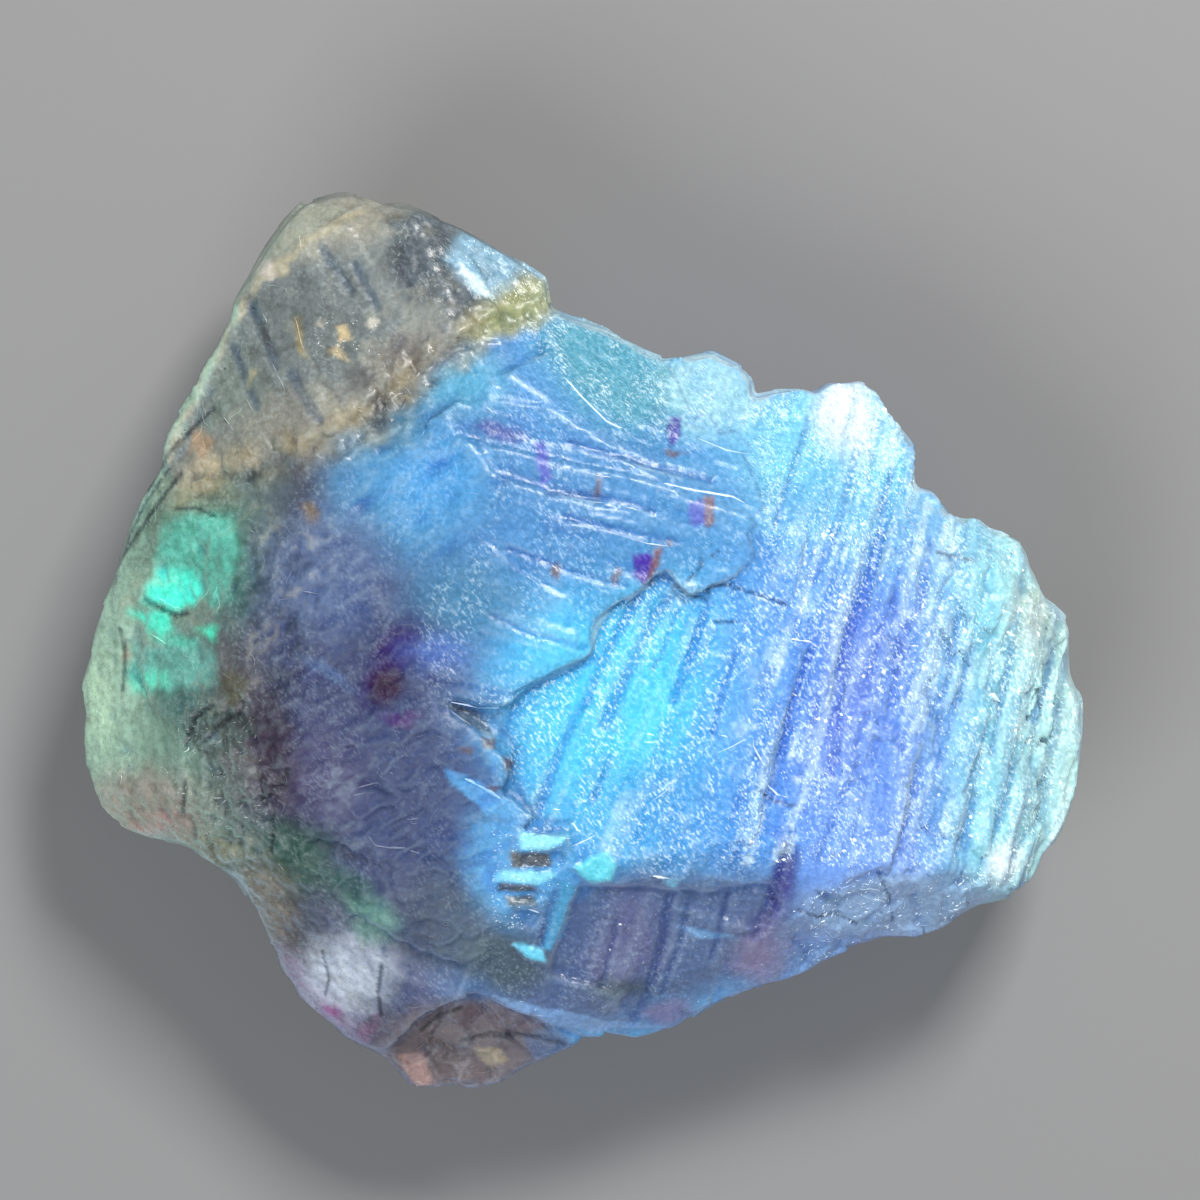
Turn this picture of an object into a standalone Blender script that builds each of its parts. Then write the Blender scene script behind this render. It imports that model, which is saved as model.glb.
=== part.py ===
"""A natural fluorite octahedron: one etched, flattened crystal, lying on its back with its display face up.

The crystal starts as a block whose sections all repeat one outline, widest at the girdle. Cleavage and crystal
faces cut it, growth steps and terraces are etched into its display face, and grooves, conchoidal scars and
small fused chips finish it. Lengths are in millimetres here, and in metres on the objects.
"""

import math
import random

import bmesh
import bpy
from mathutils import Matrix, Vector
from mathutils.bvhtree import BVHTree

MM = 0.001
CREST_HEIGHT = 19.4
GIRDLE_HEIGHT = 8.6
MAIN_FACE_HEIGHT = 17.5
SKY = 40.0
SEED = 7

# The silhouette seen from above, anticlockwise on the page turned over: from the grey summit, clockwise.
OUTLINE = [
    (-14.0, 22.0), (-12.7, 22.4), (-11.8, 22.5), (-10.3, 22.0), (-8.7, 21.8), (-6.8, 21.0), (-4.8, 20.0),
    (-3.2, 19.0), (-2.0, 18.2), (-1.8, 16.9), (-0.7, 16.3), (1.0, 15.7), (2.8, 14.7), (4.0, 14.1),
    (5.1, 14.3), (6.5, 14.5), (7.8, 13.8), (8.4, 13.1), (8.5, 12.2), (9.6, 12.5), (11.0, 12.6),
    (11.6, 12.4), (12.4, 12.9), (14.0, 13.0), (14.8, 12.5), (15.3, 11.5), (16.0, 10.6), (16.6, 9.6),
    (16.6, 7.6), (17.5, 7.5), (18.1, 6.8), (18.6, 6.0), (19.9, 6.2), (20.3, 5.6), (21.1, 5.5),
    (22.2, 4.7), (22.6, 3.5), (23.1, 2.4), (24.1, 1.5), (24.5, 0.9), (24.5, -1.6), (25.1, -3.0),
    (25.1, -5.2), (24.8, -7.6), (24.1, -9.2), (23.6, -10.1), (22.9, -10.4), (22.7, -11.4), (22.0, -12.3),
    (21.3, -12.7), (20.1, -13.0), (19.0, -13.6), (18.0, -14.3), (16.6, -14.7), (14.9, -14.8), (13.4, -15.3),
    (11.8, -16.1), (10.2, -17.0), (8.1, -17.5), (6.1, -18.4), (4.7, -19.3), (2.8, -19.9), (1.1, -19.7),
    (0.1, -19.8), (-0.4, -20.3), (-1.3, -20.7), (-2.8, -21.3), (-4.2, -22.1), (-5.5, -22.5), (-6.5, -22.3),
    (-7.9, -22.5), (-8.7, -22.2), (-9.4, -21.4), (-9.9, -20.7), (-11.8, -19.8), (-13.1, -18.7),
    (-14.2, -17.7), (-15.0, -16.6), (-15.6, -15.2), (-16.0, -14.1), (-16.5, -13.0), (-17.3, -12.0),
    (-18.3, -11.2), (-20.2, -10.2), (-21.7, -9.9), (-22.9, -9.4), (-24.1, -8.9), (-24.6, -7.7),
    (-25.1, -6.0), (-25.1, -4.7), (-24.9, -3.6), (-25.1, -2.4), (-24.5, 0.3), (-23.5, 2.7), (-22.6, 6.0),
    (-22.1, 7.1), (-21.2, 8.6), (-20.8, 10.2), (-19.8, 12.1), (-18.6, 14.2), (-17.6, 15.9), (-17.5, 16.9),
    (-16.7, 18.2), (-15.9, 19.7), (-14.9, 21.1),
]

# Sections of the uncut block: height, share of the outline, shift in x and y, and how much the share wavers.
SECTIONS = [
    (0.0, 0.845, 0.3, -0.2, 0.022),
    (2.6, 0.893, 0.3, -0.2, 0.018),
    (2.9, 0.912, 0.2, -0.1, 0.014),
    (5.4, 0.958, 0.1, -0.1, 0.010),
    (5.7, 0.972, 0.0, 0.0, 0.007),
    (GIRDLE_HEIGHT, 1.0, 0.0, 0.0, 0.0),
    (11.0, 0.992, 0.0, 0.0, 0.004),
    (13.2, 0.984, 0.1, 0.0, 0.005),
    (13.6, 0.970, 0.1, 0.1, 0.006),
    (16.4, 0.958, 0.2, 0.1, 0.006),
    (22.0, 0.940, 0.3, 0.2, 0.006),
]

# Flat faces: name, a point on the face, compass bearing of its outward normal from +X, and the normal's
# angle from straight up. Those underneath follow the octahedron, whose faces meet at 109.5 or 70.5 degrees.
FACES = [
    ("crest", (2.0, 3.0, CREST_HEIGHT), 165, 4),
    ("west_shoulder", (-9.0, 2.0, 18.4), 176, 13),
    ("west_upper", (-13.2, 1.0, 17.45), 181, 24),
    ("left_flank", (-16.9, 0.0, 15.8), 184, 36),
    ("left_mid", (-20.2, -1.5, 13.5), 187, 42),
    ("left_rim", (-23.8, -3.0, 10.3), 190, 49),
    ("lower_left_shoulder", (-8.0, -7.4, 17.6), 236, 20),
    ("lower_left_mid", (-10.6, -10.2, 16.3), 231, 32),
    ("lower_left_flank", (-13.6, -12.0, 14.2), 228, 44),
    ("lower_left_rim", (-15.6, -14.0, 11.5), 224, 52),
    ("grey_face", (-9.5, 11.5, 17.6), 128, 19),
    ("grey_low", (-14.6, 9.4, 16.5), 156, 32),
    ("grey_top", (-7.1, 18.5, 16.1), 58, 34),
    ("grey_brow", (-11.4, 20.6, 14.6), 104, 46),
    ("left_edge", (-16.6, 15.2, 14.7), 152, 58),
    ("lower_band", (3.0, -11.2, 17.0), 282, 30),
    ("lower_rim", (4.6, -16.4, 13.6), 288, 48),
    ("lower_right", (15.5, -11.6, 15.6), 296, 46),
    ("right_slope", (10.0, 0.0, 17.4), 352, 9),
    ("upper_right_rim", (10.5, 10.5, 17.0), 68, 22),
    ("under_left", (-20.2, 10.2, 7.4), 153, 109.5),
    ("under_top", (10.1, 14.5, 7.2), 55, 112),
    ("under_bottom", (6.8, -17.7, 7.4), 291, 109.5),
    ("under_lower_left", (-15.6, -15.9, 7.2), 226, 118),
    ("under_right", (24.2, 0.8, 7.3), 2, 121),
    ("under_west", (-24.8, -3.4, 7.4), 187, 124),
    ("under_peak", (-8.0, 21.5, 7.0), 92, 127),
    ("under_low_right", (20.1, -14.3, 7.0), 325, 128),
]

# Growth steps etched into the display face: name, a point on the floor, the floor's bearing and tilt, outline.
STEPS = [
    (
        "main_face", (4.0, -3.0, MAIN_FACE_HEIGHT), 335, 2.0,
        [
            (4.2, 17.0), (4.2, 13.9), (5.1, 12.0), (5.5, 10.9), (6.0, 10.8), (6.3, 11.0), (6.9, 10.1), (7.2, 10.4),
            (7.9, 10.1), (8.4, 9.4), (7.8, 9.3), (8.2, 8.5), (8.4, 7.7), (8.9, 6.6), (8.1, 6.2), (8.5, 5.7),
            (8.1, 5.3), (8.5, 4.1), (7.5, 3.3), (6.3, 2.7), (5.3, 2.2), (4.7, 2.8), (4.2, 3.5), (3.6, 3.3),
            (2.9, 2.6), (0.8, 1.0), (0.5, 0.0), (0.7, -0.6), (-0.8, -1.3), (-2.4, -2.1), (-3.0, -2.4),
            (-3.2, -3.0), (-4.2, -3.3), (-5.3, -3.1), (-7.3, -2.5), (-5.6, -3.9), (-4.2, -5.0), (-3.7, -5.5),
            (-3.4, -6.4), (-3.9, -7.3), (-3.0, -8.1), (-2.3, -8.6), (-3.1, -9.3), (-0.7, -9.4), (-0.2, -11.7),
            (-1.1, -13.7), (-1.7, -15.6), (-2.9, -16.2), (-4.6, -17.2), (-1.0, -35.0), (45.0, -35.0),
            (45.0, 25.0),
        ],
    ),
    (
        "band_floor", (3.0, -11.2, 16.6), 282, 30.0,
        [
            (-0.1, -11.9), (-1.2, -14.7), (-1.7, -16.4), (0.4, -17.0), (3.4, -18.4), (6.0, -17.2), (8.6, -15.6),
            (9.9, -12.9), (9.2, -11.7), (5.9, -12.2), (2.6, -11.9),
        ],
    ),
    (
        "stair_3", (2.0, 6.0, 19.0), 80, 2.0,
        [(-2.6, 6.4), (-0.8, 5.8), (2.2, 5.2), (5.0, 4.6), (12.0, 3.6), (14.0, 30.0), (-9.0, 30.0), (-5.5, 9.0)],
    ),
    (
        "stair_2", (2.0, 7.0, 18.65), 80, 2.5,
        [(-4.4, 8.2), (-1.5, 7.2), (1.4, 6.5), (4.4, 5.9), (12.0, 4.6), (14.0, 30.0), (-11.0, 30.0), (-6.0, 11.0)],
    ),
    (
        "stair_1", (2.0, 8.5, 18.3), 75, 3.5,
        [(-6.2, 10.0), (-1.8, 8.9), (3.5, 7.75), (9.5, 6.4), (16.0, 8.0), (14.0, 30.0), (-11.0, 30.0), (-7.5, 13.0)],
    ),
    (
        "stair_0", (-1.0, 12.4, 17.9), 62, 5.0,
        [(-6.0, 12.4), (-4.3, 11.8), (0.5, 11.1), (1.6, 11.0), (2.4, 10.3), (4.3, 10.2), (14.0, 16.0), (4.0, 30.0),
         (-11.0, 30.0)],
    ),
    (
        "teal_facet", (0.5, 14.0, 17.4), 58, 14.0,
        [(-2.4, 15.0), (-1.5, 13.7), (0.6, 11.9), (2.4, 10.5), (4.3, 10.4), (5.6, 12.4), (14.0, 22.0),
         (-2.0, 30.0)],
    ),
    (
        "lower_right_glass", (13.0, -12.2, 15.0), 292, 30.0,
        [(9.8, -13.4), (10.9, -13.0), (12.2, -12.4), (13.4, -11.6), (14.9, -11.1), (15.5, -12.2), (17.2, -12.0),
         (18.9, -12.3), (20.9, -11.6), (27.0, -12.6), (24.0, -35.0), (7.0, -35.0)],
    ),
    (
        "brown_tip", (-5.6, -18.0, 10.9), 258, 22.0,
        [(-12.0, -21.6), (-9.6, -20.3), (-8.4, -19.0), (-7.0, -18.0), (-5.2, -17.3), (-3.4, -18.2), (-1.6, -19.0),
         (1.0, -19.9), (3.0, -35.0), (-14.0, -35.0)],
    ),
]

# Cleavage steps on the back, seen from above: name, a point on the ceiling, its bearing and tilt, outline.
BACK_STEPS = [
    (
        "back_step_1", (15.0, 2.0, 0.7), 10, 2.0,
        [(8.6, 22.0), (9.4, 12.0), (11.6, 7.4), (12.2, 3.0), (14.8, 0.4), (15.2, -3.6), (17.4, -6.2), (17.8, -20.0),
         (40.0, -20.0), (40.0, 22.0)],
    ),
    (
        "back_step_2", (18.0, 3.0, 1.6), 12, 3.0,
        [(13.6, 22.0), (14.2, 12.0), (15.6, 8.2), (17.6, 5.4), (17.2, 2.4), (19.0, -0.4), (40.0, -2.0), (40.0, 22.0)],
    ),
    (
        "back_step_3", (-10.0, -12.0, 0.8), 226, 2.5,
        [(-30.0, -3.4), (-15.4, -4.8), (-13.0, -7.6), (-9.8, -9.2), (-8.6, -12.4), (-5.8, -14.8), (-4.6, -30.0),
         (-30.0, -30.0)],
    ),
]

# Terraces of the right flank: where each one's edge crosses y = 0, its lean in x for each y, floor height.
TERRACES = [
    (9.4, 0.33, 17.2), (11.7, 0.32, 16.85), (12.9, 0.31, 16.55), (14.9, 0.29, 16.1), (16.0, 0.29, 15.8),
    (18.1, 0.27, 15.2), (19.2, 0.26, 14.8), (21.0, 0.25, 14.0), (22.4, 0.24, 13.2), (23.4, 0.22, 12.3),
    (24.2, 0.20, 11.3),
]
TERRACE_TILT = 3.0
TERRACE_JITTER = 0.2
TERRACE_PITCH = 2.2

# Grooves that follow the surface: name, line, depth, half width.
GROOVES = [
    ("seam", [(-20.6, 8.0), (-16.6, 8.3), (-12.1, 9.9), (-9.1, 12.3), (-5.6, 14.6), (-1.4, 16.9)], 0.45, 1.2),
    ("left_edge_crack", [(-17.0, 17.0), (-17.0, 14.6), (-19.3, 11.2), (-21.3, 7.4), (-22.8, 4.4)], 0.22, 0.3),
    ("left_window_crack", [(-21.9, 2.1), (-20.2, 1.5), (-18.7, 1.1)], 0.16, 0.25),
    ("left_long_crack", [(-22.5, 2.0), (-22.9, -1.2), (-22.2, -3.6), (-20.6, -5.2)], 0.15, 0.25),
    ("left_low_crack", [(-18.2, -5.5), (-18.6, -7.4), (-18.0, -9.2)], 0.15, 0.25),
    ("grey_scratch_1", [(-16.1, 17.0), (-14.2, 13.6)], 0.12, 0.25),
    ("grey_scratch_2", [(-14.8, 16.6), (-12.8, 12.6)], 0.12, 0.25),
    ("grey_scratch_3", [(-15.4, 12.6), (-13.6, 9.4)], 0.12, 0.25),
    ("plate_crack", [(3.3, 2.6), (6.3, 2.9), (7.2, 1.7), (8.3, 2.4), (10.2, 1.6)], 0.16, 0.14),
    ("plate_line", [(-6.2, 6.2), (-2.0, 3.0), (0.8, 1.6)], 0.12, 0.2),
    ("stripe_1", [(2.7, 2.0), (1.8, 0.2), (0.8, -1.5), (0.3, -2.9), (-0.3, -4.1)], 0.16, 0.32),
    ("stripe_1_low", [(0.1, -3.3), (-1.0, -5.2), (-1.6, -6.5), (-2.1, -7.8)], 0.14, 0.26),
    ("stripe_2", [(3.9, 2.3), (3.5, 1.3), (2.7, -0.5), (2.0, -2.0), (1.3, -3.5), (0.9, -4.4)], 0.18, 0.32),
    ("stripe_3", [(4.7, 1.4), (4.1, 0.2), (3.6, -1.0)], 0.12, 0.16),
    ("stripe_4", [(6.1, 2.0), (5.8, 0.7), (5.5, -0.2), (5.1, -1.7), (4.5, -3.1)], 0.14, 0.26),
    ("stripe_5", [(1.5, -5.5), (0.8, -7.4)], 0.10, 0.24),
    ("band_stripe_1", [(1.3, -12.4), (-0.4, -16.4)], 0.14, 0.3),
    ("band_stripe_2", [(4.6, -13.2), (4.0, -16.2), (2.6, -18.9)], 0.16, 0.35),
    ("band_stripe_3", [(9.4, -11.8), (8.8, -13.6), (7.8, -16.4)], 0.16, 0.35),
    ("band_chip_line", [(5.4, -13.6), (8.4, -14.4)], 0.14, 0.25),
    ("flank_crease_1", [(-12.4, -8.6), (-9.4, -9.6), (-5.4, -9.4)], 0.12, 0.35),
    ("flank_crease_2", [(-13.6, -10.6), (-10.4, -12.2), (-6.0, -11.6)], 0.14, 0.4),
    ("flank_crease_3", [(-12.0, -14.4), (-8.4, -16.4), (-6.0, -17.2)], 0.16, 0.4),
    ("tip_crease", [(-9.0, -20.0), (-6.8, -20.9), (-3.0, -20.4)], 0.16, 0.3),
]

# Long grooves of the right flank: line. They share one depth and half width.
FLANK_GROOVES = [
    [(15.6, 8.5), (14.7, 5.3), (13.9, 2.2), (13.2, 0.5), (12.7, -1.6), (12.6, -4.2), (12.3, -6.4)],
    [(17.2, 5.0), (17.0, 3.6), (16.5, 1.5), (15.7, 0.2), (15.5, -1.6), (14.9, -4.6), (14.2, -7.4)],
    [(15.7, 3.6), (15.3, 1.9), (15.6, 0.8)],
    [(14.7, 0.3), (14.4, -1.0), (13.9, -2.7), (13.6, -5.2)],
    [(18.4, 1.0), (18.2, -1.2), (17.7, -3.0), (17.5, -5.9), (16.8, -8.6)],
    [(19.2, -0.3), (18.9, -1.6), (18.2, -3.7), (17.6, -6.2)],
    [(21.3, -0.2), (20.8, -2.7), (20.0, -6.4), (19.3, -9.6)],
    [(23.3, -1.1), (22.9, -2.7), (22.2, -5.0), (21.4, -8.6)],
    [(24.2, -0.7), (23.7, -3.3), (23.3, -5.5)],
    [(13.1, -0.5), (12.6, -2.7), (12.1, -5.5), (11.8, -8.4)],
    [(11.2, -0.5), (10.6, -1.9), (10.3, -3.6), (9.9, -5.5), (9.2, -8.8)],
    [(12.0, -1.7), (11.4, -3.6), (11.0, -5.0)],
]
FLANK_GROOVE_DEPTH = 0.18
FLANK_GROOVE_HALF_WIDTH = 0.27

# Conchoidal scars: name, centre seen from above or below, radius of the shell, depth, True if underneath.
SCARS = [
    ("blue_bowl", (-7.9, 8.3), 14.0, 0.6, False),
    ("emerald_hollow", (-19.8, 3.2), 9.0, 0.4, False),
    ("violet_hollow", (-12.4, -3.6), 30.0, 0.3, False),
    ("under_shell_1", (9.0, 6.5), 26.0, 0.9, True),
    ("under_shell_2", (-14.6, 5.5), 19.0, 0.9, True),
    ("under_shell_3", (14.5, -7.5), 17.0, 0.8, True),
]

# Thin chips fused to the display face: name, outline, how far they stand proud. Their roots are sunk in it.
CHIP_ROOT = 0.5
CHIPS = [
    ("round_chip", [(-0.5, -10.9), (0.0, -11.0), (0.8, -10.3), (1.3, -10.1), (1.7, -10.9), (1.4, -11.7), (0.8, -11.8),
                    (0.1, -11.7)], 0.24),
    ("arrow_chip", [(2.9, -11.2), (5.0, -11.4), (5.7, -10.2), (6.2, -10.3), (6.0, -11.6), (5.8, -12.1), (4.8, -11.7),
                    (2.9, -11.6)], 0.2),
    ("bar_chip", [(6.3, -11.3), (7.6, -11.6), (7.6, -11.85), (6.3, -11.6)], 0.2),
    ("low_flake", [(-3.4, -14.9), (-1.9, -15.2), (-1.7, -15.9), (-2.7, -15.7)], 0.25),
    ("bright_chip_1", [(14.0, -4.2), (15.3, -4.5), (15.4, -4.8), (14.0, -4.6)], 0.16),
    ("bright_chip_2", [(19.6, -3.4), (20.3, -3.5), (20.5, -4.2), (19.9, -4.2)], 0.2),
    ("bright_chip_3", [(18.9, -4.9), (19.9, -4.8), (20.4, -5.4), (19.2, -5.3)], 0.2),
    ("bright_chip_4", [(12.6, -6.0), (13.4, -6.2), (13.5, -6.9), (12.8, -6.6)], 0.16),
    ("band_flake", [(4.8, -13.2), (6.2, -13.4), (8.6, -14.3), (6.6, -14.3)], 0.22),
]

# Gaps between the fingers at the lower left end of the main face.
COMB_GAP_DEPTH = 0.35
COMB_GAPS = [
    ("comb_gap_1", [(-3.0, -10.3), (-1.7, -10.2), (-1.0, -10.0), (-0.7, -10.7), (-1.3, -11.2), (-3.1, -11.1)]),
    ("comb_gap_2", [(-4.4, -11.9), (-2.4, -11.9), (-1.9, -12.4), (-2.6, -12.9), (-3.7, -12.6)]),
    ("comb_gap_3", [(-3.5, -13.1), (-2.2, -13.0), (-1.8, -13.6), (-2.7, -14.1), (-3.3, -13.8)]),
]


def mm(x, y, z):
    return Vector((x, y, z)) * MM


def direction(bearing, from_up):
    """Unit vector at a compass bearing from +X, leaning from_up degrees away from straight up."""
    turn, lean = math.radians(bearing), math.radians(from_up)
    return Vector((math.sin(lean) * math.cos(turn), math.sin(lean) * math.sin(turn), math.cos(lean)))


def floor_height(point, bearing, tilt, x, y):
    """Height at (x, y) of the plane through point whose normal has that bearing and tilt."""
    normal = direction(bearing, tilt)
    return point[2] - ((x - point[0]) * normal.x + (y - point[1]) * normal.y) / normal.z


def new_collection(name):
    made = bpy.data.collections.new(name)
    bpy.context.scene.collection.children.link(made)
    return made


def finish_mesh(bm, name, collection):
    """Turns bm into an object with outward normals, in the collection."""
    bmesh.ops.recalc_face_normals(bm, faces=bm.faces[:])
    mesh = bpy.data.meshes.new(name)
    bm.to_mesh(mesh)
    bm.free()
    made = bpy.data.objects.new(name, mesh)
    collection.objects.link(made)
    return made


def as_helper(obj):
    obj.hide_render = True
    obj.display_type = "WIRE"
    return obj


def section_point(section, number, x, y):
    """The outline's point (x, y) on one section of the block."""
    height, share, shift_x, shift_y, waver = section
    turn = math.atan2(y, x)
    reach = share + waver * (math.sin(3 * turn + 1.7 * number) + 0.6 * math.sin(7 * turn - 2.3 * number))
    return mm(x * reach + shift_x, y * reach + shift_y, height)


def cleave(bm, point, bearing, from_up):
    """Cuts away what lies beyond one flat face, and closes the cut."""
    geometry = bm.verts[:] + bm.edges[:] + bm.faces[:]
    cut = bmesh.ops.bisect_plane(
        bm, geom=geometry, plane_co=mm(*point), plane_no=direction(bearing, from_up), dist=1e-7, clear_outer=True
    )
    edges = [item for item in cut["geom_cut"] if isinstance(item, bmesh.types.BMEdge)]
    bmesh.ops.edgeloop_fill(bm, edges=edges)


def grow_block(collection):
    """The block: one ring of points for each section, joined into walls, then cut by the flat faces."""
    bm = bmesh.new()
    rings = []
    for number, section in enumerate(SECTIONS):
        rings.append([bm.verts.new(section_point(section, number, x, y)) for x, y in OUTLINE])
    count = len(OUTLINE)
    for low, high in zip(rings, rings[1:]):
        for k in range(count):
            bm.faces.new((low[k], low[(k + 1) % count], high[(k + 1) % count], high[k]))
    bmesh.ops.triangulate(bm, faces=bm.faces[:])
    bm.faces.new(rings[0])
    bm.faces.new(rings[-1])
    bmesh.ops.recalc_face_normals(bm, faces=bm.faces[:])
    for _, point, bearing, from_up in FACES:
        cleave(bm, point, bearing, from_up)
    return finish_mesh(bm, "fluorite_crystal", collection)


def prism(name, outline, bottom, top, collection):
    """A closed prism over an outline. bottom and top give a height at (x, y)."""
    bm = bmesh.new()
    low = [bm.verts.new(mm(x, y, bottom(x, y))) for x, y in outline]
    pushed = bmesh.ops.extrude_face_region(bm, geom=[bm.faces.new(low)], use_keep_orig=True)
    high = [item for item in pushed["geom"] if isinstance(item, bmesh.types.BMVert)]
    for vertex in high:
        x, y = vertex.co.x / MM, vertex.co.y / MM
        vertex.co.z = top(x, y) * MM
    bmesh.ops.triangulate(bm, faces=bm.faces[:])
    return as_helper(finish_mesh(bm, name, collection))


def etch_steps(collection):
    for name, point, bearing, tilt, outline in STEPS:
        prism(
            name, outline,
            lambda x, y, p=point, b=bearing, t=tilt: floor_height(p, b, t, x, y),
            lambda x, y: SKY, collection,
        )


def etch_back(collection):
    for name, point, bearing, tilt, outline in BACK_STEPS:
        prism(
            name, outline,
            lambda x, y: -SKY,
            lambda x, y, p=point, b=bearing, t=tilt: floor_height(p, b, -t, x, y), collection,
        )


def etch_terraces(collection, rng):
    """Each terrace clears everything to the right of its edge, down to its own floor."""
    for number, (crossing, lean, height) in enumerate(TERRACES):
        edge = []
        y = -30.0
        while y < 30.0:
            edge.append((crossing + lean * y + rng.uniform(-1, 1) * TERRACE_JITTER, y))
            y += TERRACE_PITCH * rng.uniform(0.7, 1.3)
        outline = edge + [(60.0, 30.0), (60.0, -30.0)]
        point = (crossing, 0.0, height)
        bearing = 350 + rng.uniform(-25, 25)
        tilt = TERRACE_TILT + rng.uniform(-1.0, 1.5)
        prism(
            f"terrace_{number}", outline,
            lambda x, y, p=point, b=bearing, t=tilt: floor_height(p, b, t, x, y),
            lambda x, y: SKY, collection,
        )


def surface_of(obj):
    """The object's surface with its modifiers, for finding where a groove or a chip lies on it."""
    graph = bpy.context.evaluated_depsgraph_get()
    return BVHTree.FromObject(obj, graph)


def on_surface(surface, x, y, underneath=False):
    """The point and normal of the surface above or below (x, y)."""
    start = mm(x, y, -SKY if underneath else SKY)
    point, normal, _, _ = surface.ray_cast(start, Vector((0, 0, 1 if underneath else -1)))
    if point is None:
        return None, None
    return point, normal


def height_on(surface, x, y, fallback):
    point, _ = on_surface(surface, x, y)
    return fallback if point is None else point.z / MM


def refined(line, pitch=2.0):
    """The line's points with more between them, no further apart than pitch."""
    points = [line[0]]
    for (ax, ay), (bx, by) in zip(line, line[1:]):
        count = max(1, math.ceil(math.hypot(bx - ax, by - ay) / pitch))
        points += [(ax + (bx - ax) * k / count, ay + (by - ay) * k / count) for k in range(1, count + 1)]
    return points


def groove(name, line, depth, half_width, surface, collection):
    """A V-shaped cutter along a line, deepest in the middle of its length and fading out at both ends."""
    rise = 0.7
    points = refined(line)
    last = len(points) - 1
    bm = bmesh.new()
    rings = []
    fallback = MAIN_FACE_HEIGHT
    for number, (x, y) in enumerate(points):
        before, after = points[max(number - 1, 0)], points[min(number + 1, last)]
        along = Vector((after[0] - before[0], after[1] - before[1])).normalized()
        side = Vector((-along.y, along.x))
        fade = 0.25 if number in (0, last) else 1.0
        height = height_on(surface, x, y, fallback)
        fallback = height
        spread = half_width * (1 + rise / depth)
        low = height - depth * fade
        high = low + depth + rise
        rings.append([
            bm.verts.new(mm(x + side.x * spread, y + side.y * spread, high)),
            bm.verts.new(mm(x, y, low)),
            bm.verts.new(mm(x - side.x * spread, y - side.y * spread, high)),
        ])
    edges = []
    for ring in rings:
        edges.append([bm.edges.new((ring[k], ring[(k + 1) % 3])) for k in range(3)])
    for first, second in zip(edges, edges[1:]):
        bmesh.ops.bridge_loops(bm, edges=first + second)
    for end in (edges[0], edges[-1]):
        bmesh.ops.edgeloop_fill(bm, edges=end)
    bmesh.ops.triangulate(bm, faces=bm.faces[:])
    return as_helper(finish_mesh(bm, name, collection))


def scar(name, centre, radius, depth, underneath, surface, collection):
    """A shell-shaped hollow: a large ball that only dips into the surface."""
    point, normal = on_surface(surface, *centre, underneath=underneath)
    bm = bmesh.new()
    at = Matrix.Translation(point + normal * (radius - depth) * MM)
    bmesh.ops.create_icosphere(bm, subdivisions=5 if radius > 20 else 4, radius=radius * MM, matrix=at)
    return as_helper(finish_mesh(bm, name, collection))


def inlay(name, outline, low, high, surface, collection):
    """A prism that follows the surface under its outline, from low to high above it."""
    heights = {(x, y): height_on(surface, x, y, MAIN_FACE_HEIGHT) for x, y in outline}

    def height(x, y):
        return heights[min(heights, key=lambda p: math.hypot(p[0] - x, p[1] - y))]

    return prism(name, outline, lambda x, y: height(x, y) + low, lambda x, y: height(x, y) + high, collection)


def combine(obj, operation, collection):
    """Cuts the collection's helpers from the object, or joins them to it."""
    modifier = obj.modifiers.new(collection.name, "BOOLEAN")
    modifier.operation = operation
    modifier.solver = "EXACT"
    modifier.operand_type = "COLLECTION"
    modifier.collection = collection


def fluorite_material():
    """Translucent blue fluorite: low index of refraction, half frosted by etching."""
    material = bpy.data.materials.new("fluorite")
    material.use_nodes = True
    shader = material.node_tree.nodes["Principled BSDF"]
    shader.inputs["Base Color"].default_value = (0.16, 0.42, 0.72, 1.0)
    shader.inputs["Roughness"].default_value = 0.28
    shader.inputs["Metallic"].default_value = 0.0
    shader.inputs["IOR"].default_value = 1.434
    shader.inputs["Transmission Weight"].default_value = 0.5
    return material


def main():
    for obj in list(bpy.data.objects):
        bpy.data.objects.remove(obj)
    rng = random.Random(SEED)
    crystal_collection = new_collection("fluorite_octahedron")
    crystal = grow_block(crystal_collection)
    crystal.data.materials.append(fluorite_material())

    scars = new_collection("scars")
    block_surface = surface_of(crystal)
    for name, centre, radius, depth, underneath in SCARS:
        scar(name, centre, radius, depth, underneath, block_surface, scars)
    etching = new_collection("etching")
    etch_steps(etching)
    etch_terraces(etching, rng)
    etch_back(etching)
    combine(crystal, "DIFFERENCE", scars)
    combine(crystal, "DIFFERENCE", etching)

    etched_surface = surface_of(crystal)
    chips = new_collection("chips")
    for name, outline, proud in CHIPS:
        inlay(name, outline, -CHIP_ROOT, proud, etched_surface, chips)
    grooves = new_collection("grooves")
    for name, line, depth, half_width in GROOVES:
        groove(name, line, depth, half_width, etched_surface, grooves)
    for number, line in enumerate(FLANK_GROOVES):
        groove(
            f"flank_groove_{number}", line, FLANK_GROOVE_DEPTH, FLANK_GROOVE_HALF_WIDTH, etched_surface, grooves
        )
    for name, outline in COMB_GAPS:
        inlay(name, outline, -COMB_GAP_DEPTH, 1.5, etched_surface, grooves)
    combine(crystal, "DIFFERENCE", grooves)
    combine(crystal, "UNION", chips)
    bpy.context.view_layer.update()


main()
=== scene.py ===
import math

import bmesh
import bpy
import numpy as np
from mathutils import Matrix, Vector
from mathutils.bvhtree import BVHTree


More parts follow.
